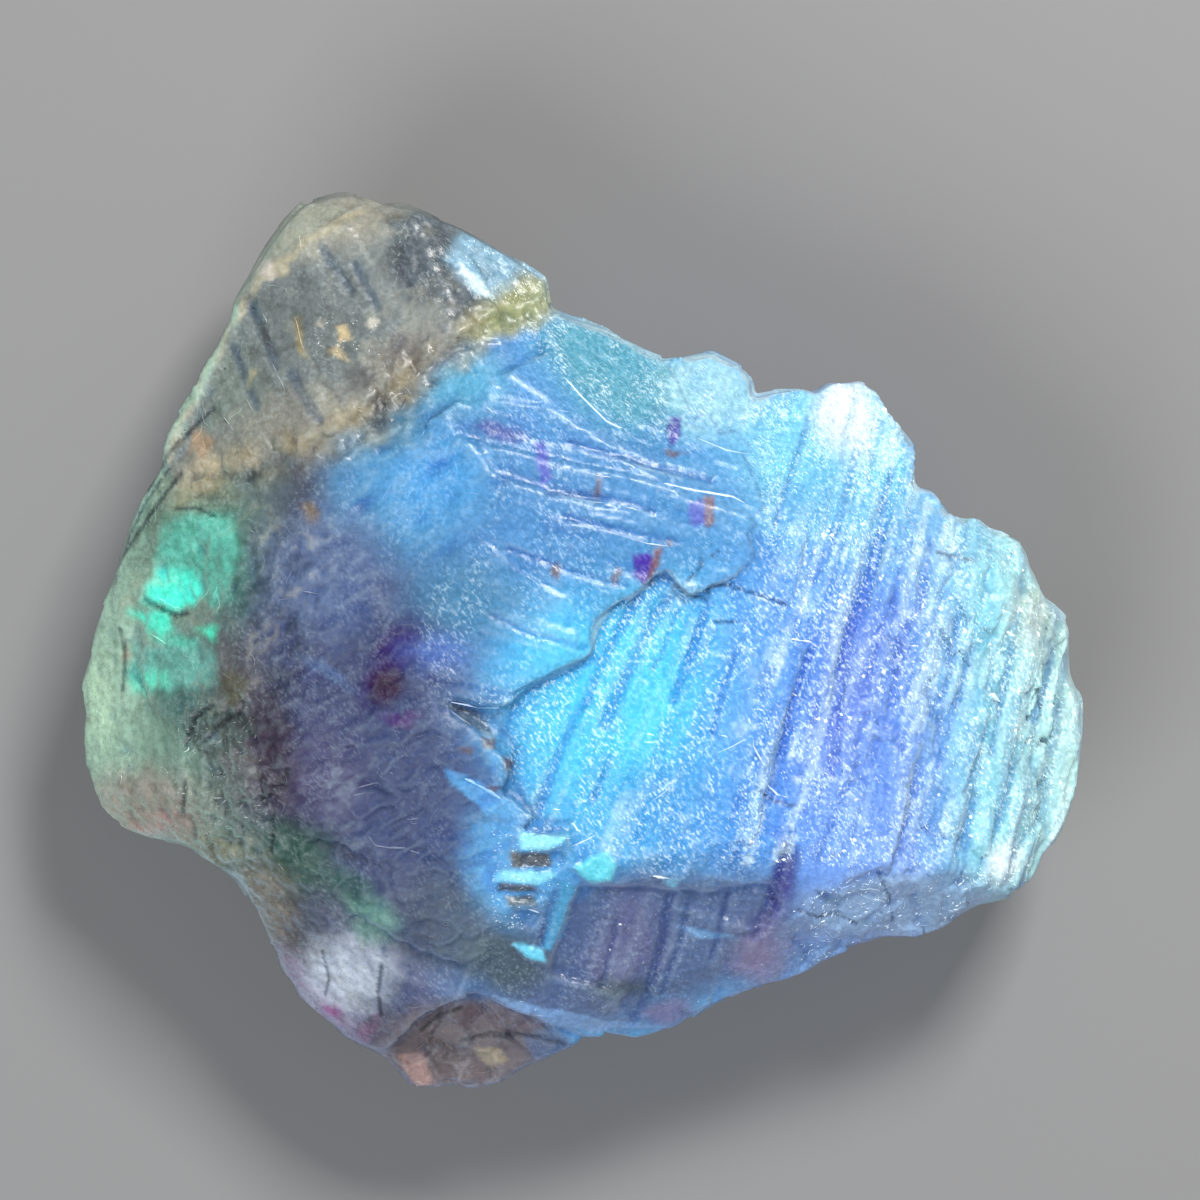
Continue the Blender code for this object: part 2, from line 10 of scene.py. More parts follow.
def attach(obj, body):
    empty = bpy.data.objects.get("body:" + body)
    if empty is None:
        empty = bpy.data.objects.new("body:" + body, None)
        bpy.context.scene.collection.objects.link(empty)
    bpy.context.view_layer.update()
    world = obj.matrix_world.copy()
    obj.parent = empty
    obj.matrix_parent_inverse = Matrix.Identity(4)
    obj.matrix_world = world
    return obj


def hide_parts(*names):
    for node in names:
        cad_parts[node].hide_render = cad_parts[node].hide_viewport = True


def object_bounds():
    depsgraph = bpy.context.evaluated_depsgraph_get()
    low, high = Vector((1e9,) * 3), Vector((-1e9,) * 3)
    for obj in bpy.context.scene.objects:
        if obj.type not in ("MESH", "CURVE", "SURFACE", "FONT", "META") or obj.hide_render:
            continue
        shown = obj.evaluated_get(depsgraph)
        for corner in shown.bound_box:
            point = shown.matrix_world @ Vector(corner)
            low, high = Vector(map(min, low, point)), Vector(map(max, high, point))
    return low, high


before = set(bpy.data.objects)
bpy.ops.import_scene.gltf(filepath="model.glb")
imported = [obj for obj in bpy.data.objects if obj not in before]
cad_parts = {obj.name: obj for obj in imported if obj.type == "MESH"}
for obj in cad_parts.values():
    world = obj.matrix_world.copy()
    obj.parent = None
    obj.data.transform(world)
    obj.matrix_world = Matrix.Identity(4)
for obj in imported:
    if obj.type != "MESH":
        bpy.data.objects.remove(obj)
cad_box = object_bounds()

# The looks of a natural fluorite octahedron that lies on its back, seen from above. The imported solid gives
# the form. A dense copy of it takes the relief that is too fine for the solid: growth strips, cracks, ripples
# and small facets. Each point then gets its colour zone, with painted glow, painted highlights and painted
# shade among the colours, and one material makes that half frosted, see-through fluorite. Thousands of slim
# etch ridges lie on the display face as a second mesh.
# Places and sizes are in millimetres, x to the right and y up in the picture, unless a name says otherwise.

MM = 0.001
NODE = "fluorite_crystal"
VOXEL = 0.18
MOST_TRIANGLES = 197_000
GIRDLE_HEIGHT = 8.6

# The finest relief goes no further than this out of the dense copy, or into it.
RELIEF_LIMIT = 0.25

# How far growth strips lean in x for each y, and for the plates how far they fall in y for each x.
FLANK_LEAN = 0.27
FACE_LEAN = 0.42
BAND_LEAN = 0.28
GREY_LEAN = -0.62
PLATE_FALL = -0.24

# Fluorite's index of refraction, and the share of light that goes into the crystal. The tint is what its
# absorption leaves, and the density of that is for each metre.
REFRACTION = 1.434
TRANSMISSION = 0.45
ABSORPTION_TINT = (0.55, 0.78, 0.95, 1.0)
ABSORPTION_DENSITY = 35.0

# The etch ridges: how far the large ones stand out and how pale they are, that paleness partly painted
# sparkle highlight, how far a scattered one stands out for its half width, and the half width of a thread and
# how far it stands out.
LARGE_PROUD = 0.05
LARGE_PALE = 0.65
DULL_PALE = 0.15
PROUD_SHARE = 0.6
THREAD_HALF_WIDTH = 0.028
THREAD_PROUD = 0.02

# The floor's half width is in metres.
FLOOR_HALF = 2.0
FLOOR_GAP = 0.03
FLOOR_COLOUR = (0.16, 0.16, 0.162, 1.0)
SKY_COLOUR = (0.93, 0.96, 1.0, 1.0)
SKY_STRENGTH = 0.36

CAMERA_FOCUS = (0.9, 2.05, 10.0)
FRAME_WIDTH = 60.0
LENS = 200.0
SENSOR = 36.0
LIGHT_BOUNCES = 3

TABLE_SIZE = 64
FIELD = 40.0


def smoothstep(low, high, value):
    t = np.clip((value - low) / (high - low), 0.0, 1.0)
    return t * t * (3.0 - 2.0 * t)


def mix(a, b, share):
    return a + (b - a) * share


def random_table(seed, dimensions):
    return np.random.default_rng(seed).random((TABLE_SIZE,) * dimensions)


def noise(points, size, seed):
    """Smooth noise from -1 to 1 at each point, with features about size wide."""
    table = random_table(seed, 3)
    place = points / size
    cell = np.floor(place).astype(int)
    part = place - cell
    part = part * part * (3.0 - 2.0 * part)
    total = np.zeros(len(points))
    for corner in np.ndindex(2, 2, 2):
        weight = np.prod(np.where(corner, part, 1.0 - part), axis=1)
        index = (cell + corner) % TABLE_SIZE
        total += weight * table[index[:, 0], index[:, 1], index[:, 2]]
    return total * 2.0 - 1.0


def fractal(points, size, seed, octaves=3, gain=0.5):
    total, share, reach = 0.0, 1.0, 0.0
    for octave in range(octaves):
        total = total + share * noise(points, size / 2**octave, seed + octave)
        reach += share
        share *= gain
    return total / reach


def ridges(points, size, seed, octaves=2):
    """Sharp crests, from 0 in the hollows to 1 on the crests."""
    return 1.0 - np.abs(fractal(points, size, seed, octaves)) * 2.0


def strips(s, t, narrow, wide, length, seed):
    """A random height from -0.5 to 0.5 for each of many strips, which lie along t, side by side in s."""
    rng = np.random.default_rng(seed)
    edges = np.cumsum(rng.uniform(narrow, wide, int(2 * FIELD / narrow))) - FIELD
    table = random_table(seed + 1, 2)
    row = np.searchsorted(edges, s) % TABLE_SIZE
    column = np.floor(t / (length * (0.5 + table[row, 0])) + table[row, 1] * 9.0).astype(int) % TABLE_SIZE
    return table[row, column] - 0.5


def facets(x, y, size, tilt, seed):
    """Small crystal facets, each a plane with a tilt of its own, in mm."""
    jitter_x, jitter_y = random_table(seed, 2), random_table(seed + 1, 2)
    tilt_x, tilt_y = random_table(seed + 2, 2), random_table(seed + 3, 2)
    u, v = x / size, y / size
    column, row = np.floor(u).astype(int), np.floor(v).astype(int)
    nearest = np.full(len(x), np.inf)
    height = np.zeros(len(x))
    for dc in (-1, 0, 1):
        for dr in (-1, 0, 1):
            index = ((column + dc) % TABLE_SIZE, (row + dr) % TABLE_SIZE)
            du = u - (column + dc + jitter_x[index])
            dv = v - (row + dr + jitter_y[index])
            distance = np.hypot(du, dv)
            plane = (tilt_x[index] - 0.5) * du + (tilt_y[index] - 0.5) * dv
            height = np.where(distance < nearest, plane, height)
            nearest = np.minimum(nearest, distance)
    return size * tilt * 2.0 * height


def oval(x, y, centre, radii, turn=0.0, soft=0.5):
    """1 inside an oval and 0 outside it. soft is the share of the radius that the fall takes on each side."""
    angle = math.radians(turn)
    dx, dy = x - centre[0], y - centre[1]
    along = (dx * math.cos(angle) + dy * math.sin(angle)) / radii[0]
    across = (-dx * math.sin(angle) + dy * math.cos(angle)) / radii[1]
    return 1.0 - smoothstep(1.0 - soft, 1.0 + soft, np.hypot(along, across))


def line_distance(x, y, line):
    """Distance from each point to a line of several stretches."""
    best = np.full(len(x), np.inf)
    for (ax, ay), (bx, by) in zip(line, line[1:]):
        dx, dy = bx - ax, by - ay
        t = np.clip(((x - ax) * dx + (y - ay) * dy) / (dx * dx + dy * dy), 0.0, 1.0)
        best = np.minimum(best, np.hypot(x - ax - t * dx, y - ay - t * dy))
    return best


def strokes(x, y, lines):
    """1 on any of the lines, given with their widths, and 0 away from them."""
    total = np.zeros(len(x))
    for width, line in lines:
        places = np.array(line)
        near = (
            (x > places[:, 0].min() - width) & (x < places[:, 0].max() + width)
            & (y > places[:, 1].min() - width) & (y < places[:, 1].max() + width)
        )
        mask = 1.0 - smoothstep(0.3 * width, 0.8 * width, line_distance(x[near], y[near], line))
        total[near] = np.maximum(total[near], mask)
    return total


def inside(x, y, outline):
    """True for each point inside a closed outline."""
    found = np.zeros(len(x), bool)
    for (ax, ay), (bx, by) in zip(outline, outline[1:] + outline[:1]):
        crosses = (ay > y) != (by > y)
        if by != ay:
            found ^= crosses & (x < ax + (y - ay) * (bx - ax) / (by - ay))
    return found


def area(x, y, outline, soft=0.6):
    """1 inside a closed outline, 0 outside it, with a smooth edge."""
    distance = line_distance(x, y, outline + outline[:1])
    return smoothstep(-soft, soft, np.where(inside(x, y, outline), distance, -distance))


# Parts of the display face, as outlines seen from above.
SEAM = [
    (-20.0, 7.6), (-16.0, 8.5), (-14.3, 9.1), (-12.4, 9.7), (-10.5, 11.0), (-9.2, 12.2), (-7.5, 13.4),
    (-6.0, 14.6), (-4.6, 15.9), (-1.9, 16.9),
]
GREY_MASS = SEAM + [(0.0, 24.0), (-22.0, 26.0), (-26.0, 14.0)]
LEFT_RIM = [(-17.6, 16.6), (-19.8, 12.0), (-22.0, 7.0), (-23.2, 4.4)]
LEDGE = [(-7.6, -2.6), (-5.4, -3.6), (-3.8, -3.6), (-3.0, -2.6), (-1.4, -1.5), (0.6, -0.6), (0.7, 1.1)]
BROW = [(-10.9, 21.1), (-13.5, 19.6), (-16.3, 17.6), (-17.5, 15.6), (-18.6, 13.2), (-20.6, 9.1)]
OUTER_CORNER = BROW + [(-26.0, 9.0), (-20.0, 24.0)]
FROSTED_TOP = [
    (-9.8, 20.9), (-9.0, 17.6), (-6.8, 15.8), (-4.0, 16.4), (-1.2, 16.8), (-1.0, 19.0), (-6.8, 22.0),
]
FROSTED_EDGE = [(-6.4, 19.0), (-5.3, 17.4), (-4.1, 16.6), (-1.4, 16.9), (-1.2, 19.0), (-4.6, 20.6)]
PLATES_EDGE = [
    (4.3, 13.6), (4.8, 12.5), (5.1, 11.8), (5.5, 11.0), (6.3, 11.2), (6.8, 10.2), (7.6, 10.4), (8.4, 9.4),
    (7.9, 9.3), (8.5, 7.9), (8.9, 6.6), (8.3, 6.0), (8.5, 5.8), (8.1, 5.3), (8.4, 4.1), (7.9, 3.5),
    (7.1, 2.9), (6.2, 2.7), (5.3, 2.6), (4.6, 2.8), (4.2, 3.5), (3.6, 3.3), (2.9, 2.6), (0.7, 1.1),
    (0.4, 0.4), (0.6, -0.6), (-1.4, -1.5), (-3.0, -2.3),
]
TONGUE_EDGE = [(-3.0, -3.0), (-4.1, -3.2), (-5.0, -3.2), (-7.0, -2.8)]
LOWER_EDGE = [
    (-4.1, -3.2), (-3.8, -4.3), (-3.2, -5.2), (-3.4, -5.8), (-3.3, -6.6), (-3.0, -7.1), (-2.8, -7.9),
    (-2.3, -8.6), (-0.7, -8.8),
]
PLATES = [(-4.6, 11.6), (0.5, 11.1), (2.4, 10.3)] + PLATES_EDGE + [(-7.4, -2.4), (-8.0, 2.0), (-4.4, 5.0)]
TEAL_FACET = [
    (-4.6, 15.2), (-2.4, 14.9), (-1.8, 13.4), (-1.2, 13.3), (1.2, 10.8), (2.4, 10.4), (4.4, 10.2),
    (5.0, 11.9), (4.2, 14.6), (0.0, 16.6),
]
MAIN_FACE = PLATES_EDGE + [
    (-6.6, -2.6), (-3.4, -7.2), (-2.9, -9.1), (-0.6, -10.0), (3.0, -11.2), (8.6, -11.0), (12.0, -10.0),
    (10.0, -2.0), (11.0, 4.0), (13.0, 14.0),
]
FLANK = [
    (11.0, 16.0), (12.8, 9.0), (10.6, 4.0), (9.2, 0.0), (7.8, -5.0), (6.6, -10.6), (14.6, -11.2),
    (23.0, -12.6), (27.0, -6.0), (26.0, 4.0), (18.0, 10.0),
]
LOWER_BAND = [
    (-0.6, -11.2), (3.0, -11.4), (9.8, -11.2), (14.0, -13.4), (20.0, -14.4), (10.0, -18.0), (2.0, -21.0),
    (-4.2, -17.0), (-2.0, -15.6), (-1.4, -14.0),
]
GLASSY_CORNER = [
    (10.4, -13.2), (12.6, -11.8), (15.0, -11.2), (20.9, -11.6), (24.4, -12.0), (20.0, -15.6), (10.2, -16.4),
]
SMOOTH_LEFT = [
    (-21.0, 8.0), (-15.6, 7.4), (-12.4, 5.0), (-13.2, -0.6), (-14.6, -7.4), (-12.6, -12.6), (-8.6, -15.4),
    (-8.0, -19.6), (-14.0, -21.0), (-27.0, -12.0), (-28.0, 0.0),
]
SLATE = [
    (-16.8, 6.0), (-11.6, 6.4), (-10.0, 3.4), (-6.8, -2.6), (-4.2, -4.6), (-3.4, -7.4), (-3.8, -12.6),
    (-4.4, -15.8), (-8.2, -16.0), (-13.4, -11.4), (-16.6, -3.0),
]
MOTTLED = [(-19.8, -3.0), (-16.4, -2.6), (-15.4, -7.6), (-16.0, -12.0), (-20.4, -10.0), (-20.2, -6.0)]
TIP = [
    (-10.4, -20.6), (-8.0, -18.2), (-5.0, -17.2), (-1.6, -18.8), (1.0, -20.2), (-4.0, -24.0),
    (-11.0, -24.0),
]

# The bowl's centre and radii.
BOWL = ((-8.4, 8.3), (4.2, 4.2))

# Dark growth stripes, as width and line: those of the bright face, the right flank, the plates, the lower
# band and, last, the grey corner.
DARK_STRIPES = [
    (0.42, [(2.8, 2.2), (1.7, 0.2), (0.7, -1.7), (0.3, -2.8), (-0.3, -3.6), (-1.4, -6.3), (-2.0, -8.0)]),
    (0.48, [(4.2, 2.1), (2.7, -0.6), (1.8, -2.7), (1.1, -4.1)]),
    (0.3, [(1.4, -5.6), (0.8, -7.2), (0.5, -7.7)]),
    (0.2, [(4.7, 1.6), (3.9, -0.6), (3.5, -1.3)]),
    (0.4, [(6.2, 1.8), (5.5, 0.0), (4.8, -1.9), (4.5, -2.9)]),
    (0.25, [(7.6, -0.4), (6.8, -2.8), (6.4, -4.6)]),
    (0.5, [(14.7, 5.3), (13.9, 2.2), (13.2, 0.5), (12.7, -1.6), (12.6, -4.2), (12.3, -6.4)]),
    (0.4, [(17.2, 5.0), (17.0, 3.6), (16.5, 1.5), (15.7, 0.2), (15.5, -1.6)]),
    (0.3, [(15.7, 3.6), (15.3, 1.9), (15.6, 0.8)]),
    (0.3, [(14.7, 0.3), (14.4, -1.0), (13.9, -2.7)]),
    (0.35, [(18.4, 1.0), (18.2, -1.2), (17.7, -3.0), (17.5, -5.9)]),
    (0.3, [(19.2, -0.3), (18.9, -1.6), (18.2, -3.7), (17.6, -6.2)]),
    (0.3, [(21.3, -0.2), (20.8, -2.7), (20.2, -5.6)]),
    (0.3, [(23.3, -1.1), (22.9, -2.7), (22.2, -5.0)]),
    (0.5, [(24.2, -0.7), (23.7, -3.3), (23.3, -5.5)]),
    (0.3, [(13.0, -0.9), (12.6, -3.3)]),
    (0.3, [(11.2, -0.4), (10.4, -2.6), (10.1, -3.8), (9.6, -6.0), (8.8, -8.4)]),
    (0.25, [(11.6, -2.6), (11.3, -4.2), (10.6, -6.6)]),
    (0.35, [(13.6, 9.4), (12.6, 5.8), (11.4, 3.0)]),
    (0.25, [(11.2, 11.0), (10.2, 8.0), (9.4, 5.6)]),
    (0.25, [(15.4, 8.6), (14.7, 6.4)]),
    (0.3, [(-0.6, 9.8), (1.6, 9.1), (4.2, 8.4), (6.4, 7.9)]),
    (0.3, [(-1.6, 7.3), (0.9, 7.1), (2.5, 6.8), (3.4, 6.4)]),
    (0.3, [(-0.7, 6.1), (3.2, 5.2), (4.8, 4.9)]),
    (0.25, [(-3.6, 4.6), (-0.6, 3.5), (2.2, 2.8)]),
    (0.3, [(-4.4, 1.3), (-2.4, 0.4), (0.2, -0.3)]),
    (0.35, [(0.7, -0.8), (-1.4, -1.7), (-3.0, -2.5), (-4.6, -2.8)]),
    (0.3, [(-7.3, -1.7), (-4.8, -2.3), (-3.2, -2.6)]),
    (0.5, [(4.3, -12.6), (3.9, -15.0), (3.2, -17.6), (2.5, -18.9)]),
    (0.3, [(5.2, -13.0), (4.7, -15.4), (3.9, -17.4)]),
    (0.3, [(1.7, -13.8), (1.1, -16.9)]),
    (0.4, [(-1.3, -12.4), (-2.0, -14.9)]),
    (0.5, [(9.9, -10.6), (9.4, -12.4), (8.6, -14.6)]),
    (0.3, [(7.2, -12.4), (6.4, -15.6)]),
    (0.5, [(-16.4, 17.0), (-15.7, 15.2), (-15.0, 13.6)]),
    (0.4, [(-17.2, 14.6), (-16.6, 13.0), (-16.0, 11.6)]),
    (0.5, [(-14.2, 13.2), (-13.6, 12.0), (-12.9, 10.9)]),
    (0.4, [(-12.8, 19.4), (-12.0, 18.2), (-11.3, 17.2)]),
    (0.4, [(-11.2, 18.6), (-10.5, 17.4), (-10.0, 16.4)]),
]

# Dark cracks, as width and line.
CRACKS = [
    (0.16, [(4.6, 2.8), (5.2, 2.3), (6.1, 2.1), (6.2, 2.7), (7.1, 2.8), (8.4, 2.4), (10.0, 1.8)]),
    (0.14, [(5.9, 4.0), (5.8, 3.6), (5.1, 2.9)]),
    (0.12, [(6.8, 4.5), (6.4, 4.2)]),
    (0.12, [(6.0, 1.1), (7.9, 0.9)]),
    (0.16, [(17.5, 4.4), (19.2, 4.0)]),
    (0.16, [(8.6, -7.2), (9.4, -7.8), (10.3, -8.0)]),
    (0.22, [(-18.2, 11.5), (-19.2, 10.6), (-20.3, 9.5), (-21.6, 7.5)]),
    (0.2, [(-19.8, 8.3), (-21.4, 6.3), (-22.1, 5.3), (-22.9, 4.2), (-23.4, 3.3)]),
    (0.14, [(-20.4, 8.6), (-21.7, 6.8), (-22.6, 5.0)]),
    (0.15, [(-20.1, 6.5), (-19.0, 6.6), (-18.1, 6.2)]),
    (0.26, [(-21.7, 2.1), (-21.0, 1.7), (-20.1, 1.3), (-19.5, 1.4)]),
    (0.2, [(-23.0, 0.6), (-22.8, -0.2), (-22.8, -1.4), (-22.9, -2.4)]),
    (0.2, [(-19.6, -7.0), (-19.8, -8.5)]),
    (0.26, [(-19.6, -5.0), (-19.1, -3.8), (-18.2, -3.1)]),
    (0.3, [(-18.6, -4.9), (-17.6, -3.9), (-16.7, -3.5)]),
    (0.2, [(-15.6, -7.8), (-14.7, -7.0), (-14.4, -6.2)]),
    (0.16, [(-15.2, -8.4), (-15.3, -10.4)]),
    (0.2, [(-9.9, -16.0), (-10.1, -17.4), (-10.0, -18.6)]),
    (0.14, [(-12.9, -15.4), (-12.6, -16.8), (-12.8, -17.6)]),
    (0.2, [(-6.1, -20.0), (-4.6, -19.6), (-2.6, -19.7), (-0.8, -20.1)]),
    (0.2, [(-8.0, -19.4), (-7.0, -18.6), (-6.0, -18.3)]),
    (0.12, [(14.6, -11.4), (15.2, -12.6), (15.4, -13.8)]),
    (0.14, [(10.7, -13.2), (11.6, -13.6), (12.6, -13.4), (13.6, -14.0)]),
]

# Pale ridges and threads: half width, and line.
PALE_RIDGES = [
    (0.06, [(9.8, 0.2), (10.5, 0.1), (11.2, 0.0), (11.8, -0.5)]),
    (0.07, [(9.0, -6.9), (9.6, -7.5), (10.5, -7.7)]),
    (0.05, [(6.5, -5.5), (7.4, -5.1), (8.3, -4.6)]),
    (0.05, [(3.0, -8.1), (4.0, -7.4), (5.0, -6.5)]),
    (0.06, [(-0.5, -10.0), (0.2, -9.7), (0.9, -9.3)]),
    (0.05, [(8.4, -4.5), (8.4, -5.1), (8.9, -6.0), (9.4, -6.6)]),
    (0.09, [(2.8, -4.5), (3.3, -4.5), (3.7, -4.6)]),
    (0.08, [(2.8, -4.9), (3.3, -4.9), (3.7, -5.0)]),
    (0.08, [(6.5, -4.5), (7.0, -4.6), (7.4, -4.8)]),
    (0.08, [(1.4, -5.1), (1.5, -5.2), (1.6, -5.4)]),
    (0.06, [(3.5, -5.5), (3.5, -5.8), (3.5, -6.0)]),
    (0.08, [(8.1, -3.6), (8.2, -3.8), (8.3, -4.1)]),
    (0.10, [(12.5, -7.1), (12.7, -7.2), (12.9, -7.2)]),
    (0.10, [(12.6, -6.0), (13.0, -6.1), (13.4, -6.3)]),
    (0.10, [(16.0, -0.2), (16.3, -0.2), (16.7, -0.2)]),
    (0.08, [(17.1, -0.2), (17.4, -0.3), (17.7, -0.4)]),
    (0.08, [(15.9, -0.9), (16.3, -1.0), (16.7, -1.1)]),
    (0.16, [(19.4, 0.2), (19.5, 0.1), (19.8, -0.1)]),
    (0.20, [(20.0, -2.6), (20.3, -2.7), (20.7, -3.0)]),
    (0.22, [(19.2, -3.7), (19.5, -3.8), (20.0, -4.2)]),
    (0.12, [(14.3, -2.1), (14.6, -2.3), (14.9, -2.6)]),
    (0.12, [(12.9, -3.6), (13.1, -3.7), (13.4, -3.9)]),
    (0.12, [(20.6, 1.6), (20.8, 1.5), (21.1, 1.4)]),
    (0.12, [(21.5, 1.7), (21.6, 1.6), (21.9, 1.4)]),
    (0.08, [(-1.2, 13.3), (-0.6, 12.7), (0.0, 12.0), (0.6, 11.4), (1.2, 10.8), (1.8, 10.5), (2.4, 10.4)]),
    (0.04, [(-2.1, 11.4), (-1.0, 11.3), (0.1, 11.1)]),
    (0.06, [(5.0, 10.3), (6.4, 9.7), (7.1, 9.4), (8.4, 9.2)]),
    (0.05, [(-1.4, 8.8), (0.8, 8.1), (2.0, 8.0)]),
    (0.09, [(2.9, 7.9), (4.2, 7.7), (5.5, 7.4), (7.4, 7.1), (8.7, 6.4)]),
    (0.05, [(-1.6, 6.9), (0.9, 6.8), (2.5, 6.5), (3.4, 6.2)]),
    (0.05, [(-0.7, 5.8), (1.2, 5.4), (3.2, 4.8), (4.8, 4.6)]),
    (0.05, [(-5.4, -0.8), (-5.8, -1.3), (-6.2, -1.9)]),
    (0.06, [(-7.0, -2.9), (-6.3, -3.4), (-5.6, -3.9), (-4.5, -4.8)]),
    (0.06, [(-7.0, -2.8), (-5.0, -3.2), (-4.1, -3.2), (-3.0, -3.0)]),
    (0.05, [(-2.4, 1.4), (0.1, 0.8), (0.4, 0.4)]),
    (0.10, [(-6.6, -6.2), (-5.6, -6.7), (-4.8, -7.1), (-4.0, -7.6), (-3.4, -8.0)]),
    (0.07, [(-2.8, -8.3), (-2.5, -8.5), (-2.3, -8.6)]),
    (0.07, [(-1.7, -8.1), (-1.2, -8.2), (-0.8, -8.2)]),
    (0.10, [(-0.7, -8.8), (-0.4, -8.9), (-0.2, -9.2), (0.1, -9.3)]),
    (0.11, [(-2.8, -13.1), (-2.3, -13.2), (-1.8, -13.4)]),
    (0.12, [(3.0, -11.4), (3.8, -11.5), (4.9, -11.7)]),
    (0.12, [(1.7, -13.9), (1.9, -13.9), (2.1, -14.0)]),
    (0.07, [(-3.2, -17.7), (-3.0, -17.8), (-2.8, -17.8)]),
    (0.07, [(1.3, -15.1), (1.4, -15.2), (1.4, -15.4)]),
    (0.06, [(-9.6, -6.2), (-9.3, -6.4), (-9.1, -6.6)]),
    (0.05, [(-11.5, -7.3), (-10.8, -7.1), (-10.1, -6.9), (-9.3, -6.9)]),
    (0.05, [(-11.8, -7.6), (-11.0, -7.5), (-10.2, -7.3)]),
    (0.05, [(-9.1, -8.5), (-8.4, -8.7), (-7.6, -8.6)]),
    (0.05, [(-8.8, -8.9), (-8.2, -8.9), (-7.7, -8.8)]),
    (0.06, [(-10.8, -9.2), (-10.4, -9.6), (-10.1, -10.0), (-9.4, -10.1), (-8.7, -10.1), (-7.4, -10.6)]),
    (0.06, [(-21.5, 2.4), (-20.9, 2.1), (-20.2, 1.7), (-19.6, 1.6)]),
    (0.07, [(-22.0, 0.6), (-21.1, 0.2), (-20.4, -0.3)]),
    (0.05, [(-15.2, 2.0), (-14.6, 2.1), (-14.0, 2.1), (-13.7, 2.5), (-12.7, 2.3)]),
    (0.08, [(-16.0, 16.6), (-15.6, 15.9), (-15.2, 15.1)]),
    (0.06, [(-14.3, 16.4), (-14.0, 15.6), (-13.8, 14.7), (-13.5, 14.0)]),
    (0.05, [(-17.0, 12.9), (-16.4, 11.7), (-15.7, 10.5)]),
    (0.05, [(-18.2, 12.0), (-17.6, 11.0), (-16.9, 10.0)]),
    (0.06, [(-15.4, 14.0), (-14.9, 13.0), (-14.4, 12.0)]),
    (0.06, [(-13.3, 13.6), (-12.4, 13.2), (-11.4, 12.9)]),
    (0.05, [(-15.9, 17.6), (-15.2, 17.6), (-14.6, 17.4), (-14.0, 15.8)]),
    (0.10, [(-6.0, 18.7), (-5.6, 18.1), (-5.3, 17.6)]),
    (0.12, [(-5.2, 17.4), (-4.7, 16.9), (-4.1, 16.6)]),
    (0.07, [(-10.2, 16.2), (-10.1, 16.1), (-10.1, 16.0)]),
    (0.06, [(-12.4, 13.8), (-12.1, 14.1), (-11.9, 14.1), (-11.5, 13.6)]),
    (0.07, [(-19.4, -4.2), (-19.1, -4.2), (-18.8, -4.2)]),
    (0.07, [(-18.2, -5.1), (-17.8, -4.9), (-17.5, -4.6)]),
    (0.05, [(0.6, 0.2), (0.5, -0.4), (0.6, -0.6)]),
    (0.05, [(-8.0, -19.2), (-7.7, -20.0), (-7.6, -20.4)]),
    (0.05, [(-7.7, -20.0), (-8.2, -20.4), (-8.7, -20.8)]),
    (0.06, [(0.2, -19.2), (1.4, -19.5), (2.6, -19.7)]),
]

# How the surface is etched: outline, softness of its edge, frosting, roughness.
SURFACES = [
    (FLANK, 1.0, 0.9, 0.38), (MAIN_FACE, 1.0, 0.85, 0.36), (PLATES, 0.6, 0.3, 0.34),
    (TEAL_FACET, 0.5, 0.8, 0.36), (GREY_MASS, 0.5, 0.12, 0.38), (FROSTED_TOP, 0.5, 0.3, 0.36),
    (LOWER_BAND, 1.0, 0.15, 0.36), (GLASSY_CORNER, 0.5, 0.12, 0.18), (TIP, 0.5, 0.10, 0.42),
    (SMOOTH_LEFT, 1.5, 0.12, 0.3), (SLATE, 1.0, 0.1, 0.5),
]

# Scattered etch ridges: outline, how many, direction in degrees, its spread, longest, widest, how pale.
SCATTERS = [
    (FLANK, 6400, -58, 30, 0.5, 0.075, 0.8),
    (MAIN_FACE, 3200, -40, 40, 0.36, 0.06, 0.5),
    ([(9.0, 3.0), (8.6, 12.6), (16.0, 12.8), (17.0, 8.0), (12.6, 3.4)], 3000, -55, 35, 0.36, 0.07, 1.0),
    (FLANK, 150, -45, 60, 0.6, 0.17, 1.0),
    (TEAL_FACET, 1300, -40, 40, 0.28, 0.055, 0.6),
    (PLATES, 1000, -18, 26, 0.4, 0.045, 0.35),
    (LOWER_BAND, 320, -20, 80, 0.2, 0.06, 0.95),
    (FROSTED_EDGE, 560, -62, 22, 0.42, 0.08, 0.9),
    (FROSTED_TOP, 900, -66, 22, 0.36, 0.06, 0.2),
    (GREY_MASS, 220, -60, 40, 0.3, 0.04, 0.4),
    ([(-13.2, 16.4), (-9.8, 16.4), (-9.8, 13.4), (-13.2, 13.4)], 60, -30, 80, 0.36, 0.07, 0.9),
    (SLATE, 300, 0, 60, 0.4, 0.035, 0.4),
    (MOTTLED, 380, 30, 50, 0.6, 0.06, 0.4),
    ([(-4.4, -9.2), (-0.6, -9.0), (-0.6, -12.0), (-1.4, -14.2), (-4.4, -14.0)], 300, 0, 40, 0.34, 0.07, 0.8),
    (GLASSY_CORNER, 380, 30, 70, 0.6, 0.07, 0.8),
    (SMOOTH_LEFT, 260, 40, 60, 0.4, 0.035, 0.4),
]

# The large pale ridges are duller to the left of this.
DULL_LEFT_OF = -3.0

# Wavy threads: outline, how many, longest stretch, direction in degrees, how pale.
THREADS = [
    (SLATE, 260, 0.9, 10, 0.2),
    ([(-11.4, 12.0), (-4.6, 12.0), (-5.0, 4.6), (-11.6, 4.4)], 150, 0.7, 20, 0.35),
    (GREY_MASS, 90, 0.9, -60, 0.35),
    (SMOOTH_LEFT, 120, 0.8, 30, 0.3),
    (GLASSY_CORNER, 60, 0.7, -30, 0.5),
    (TIP, 60, 0.7, -20, 0.4),
]


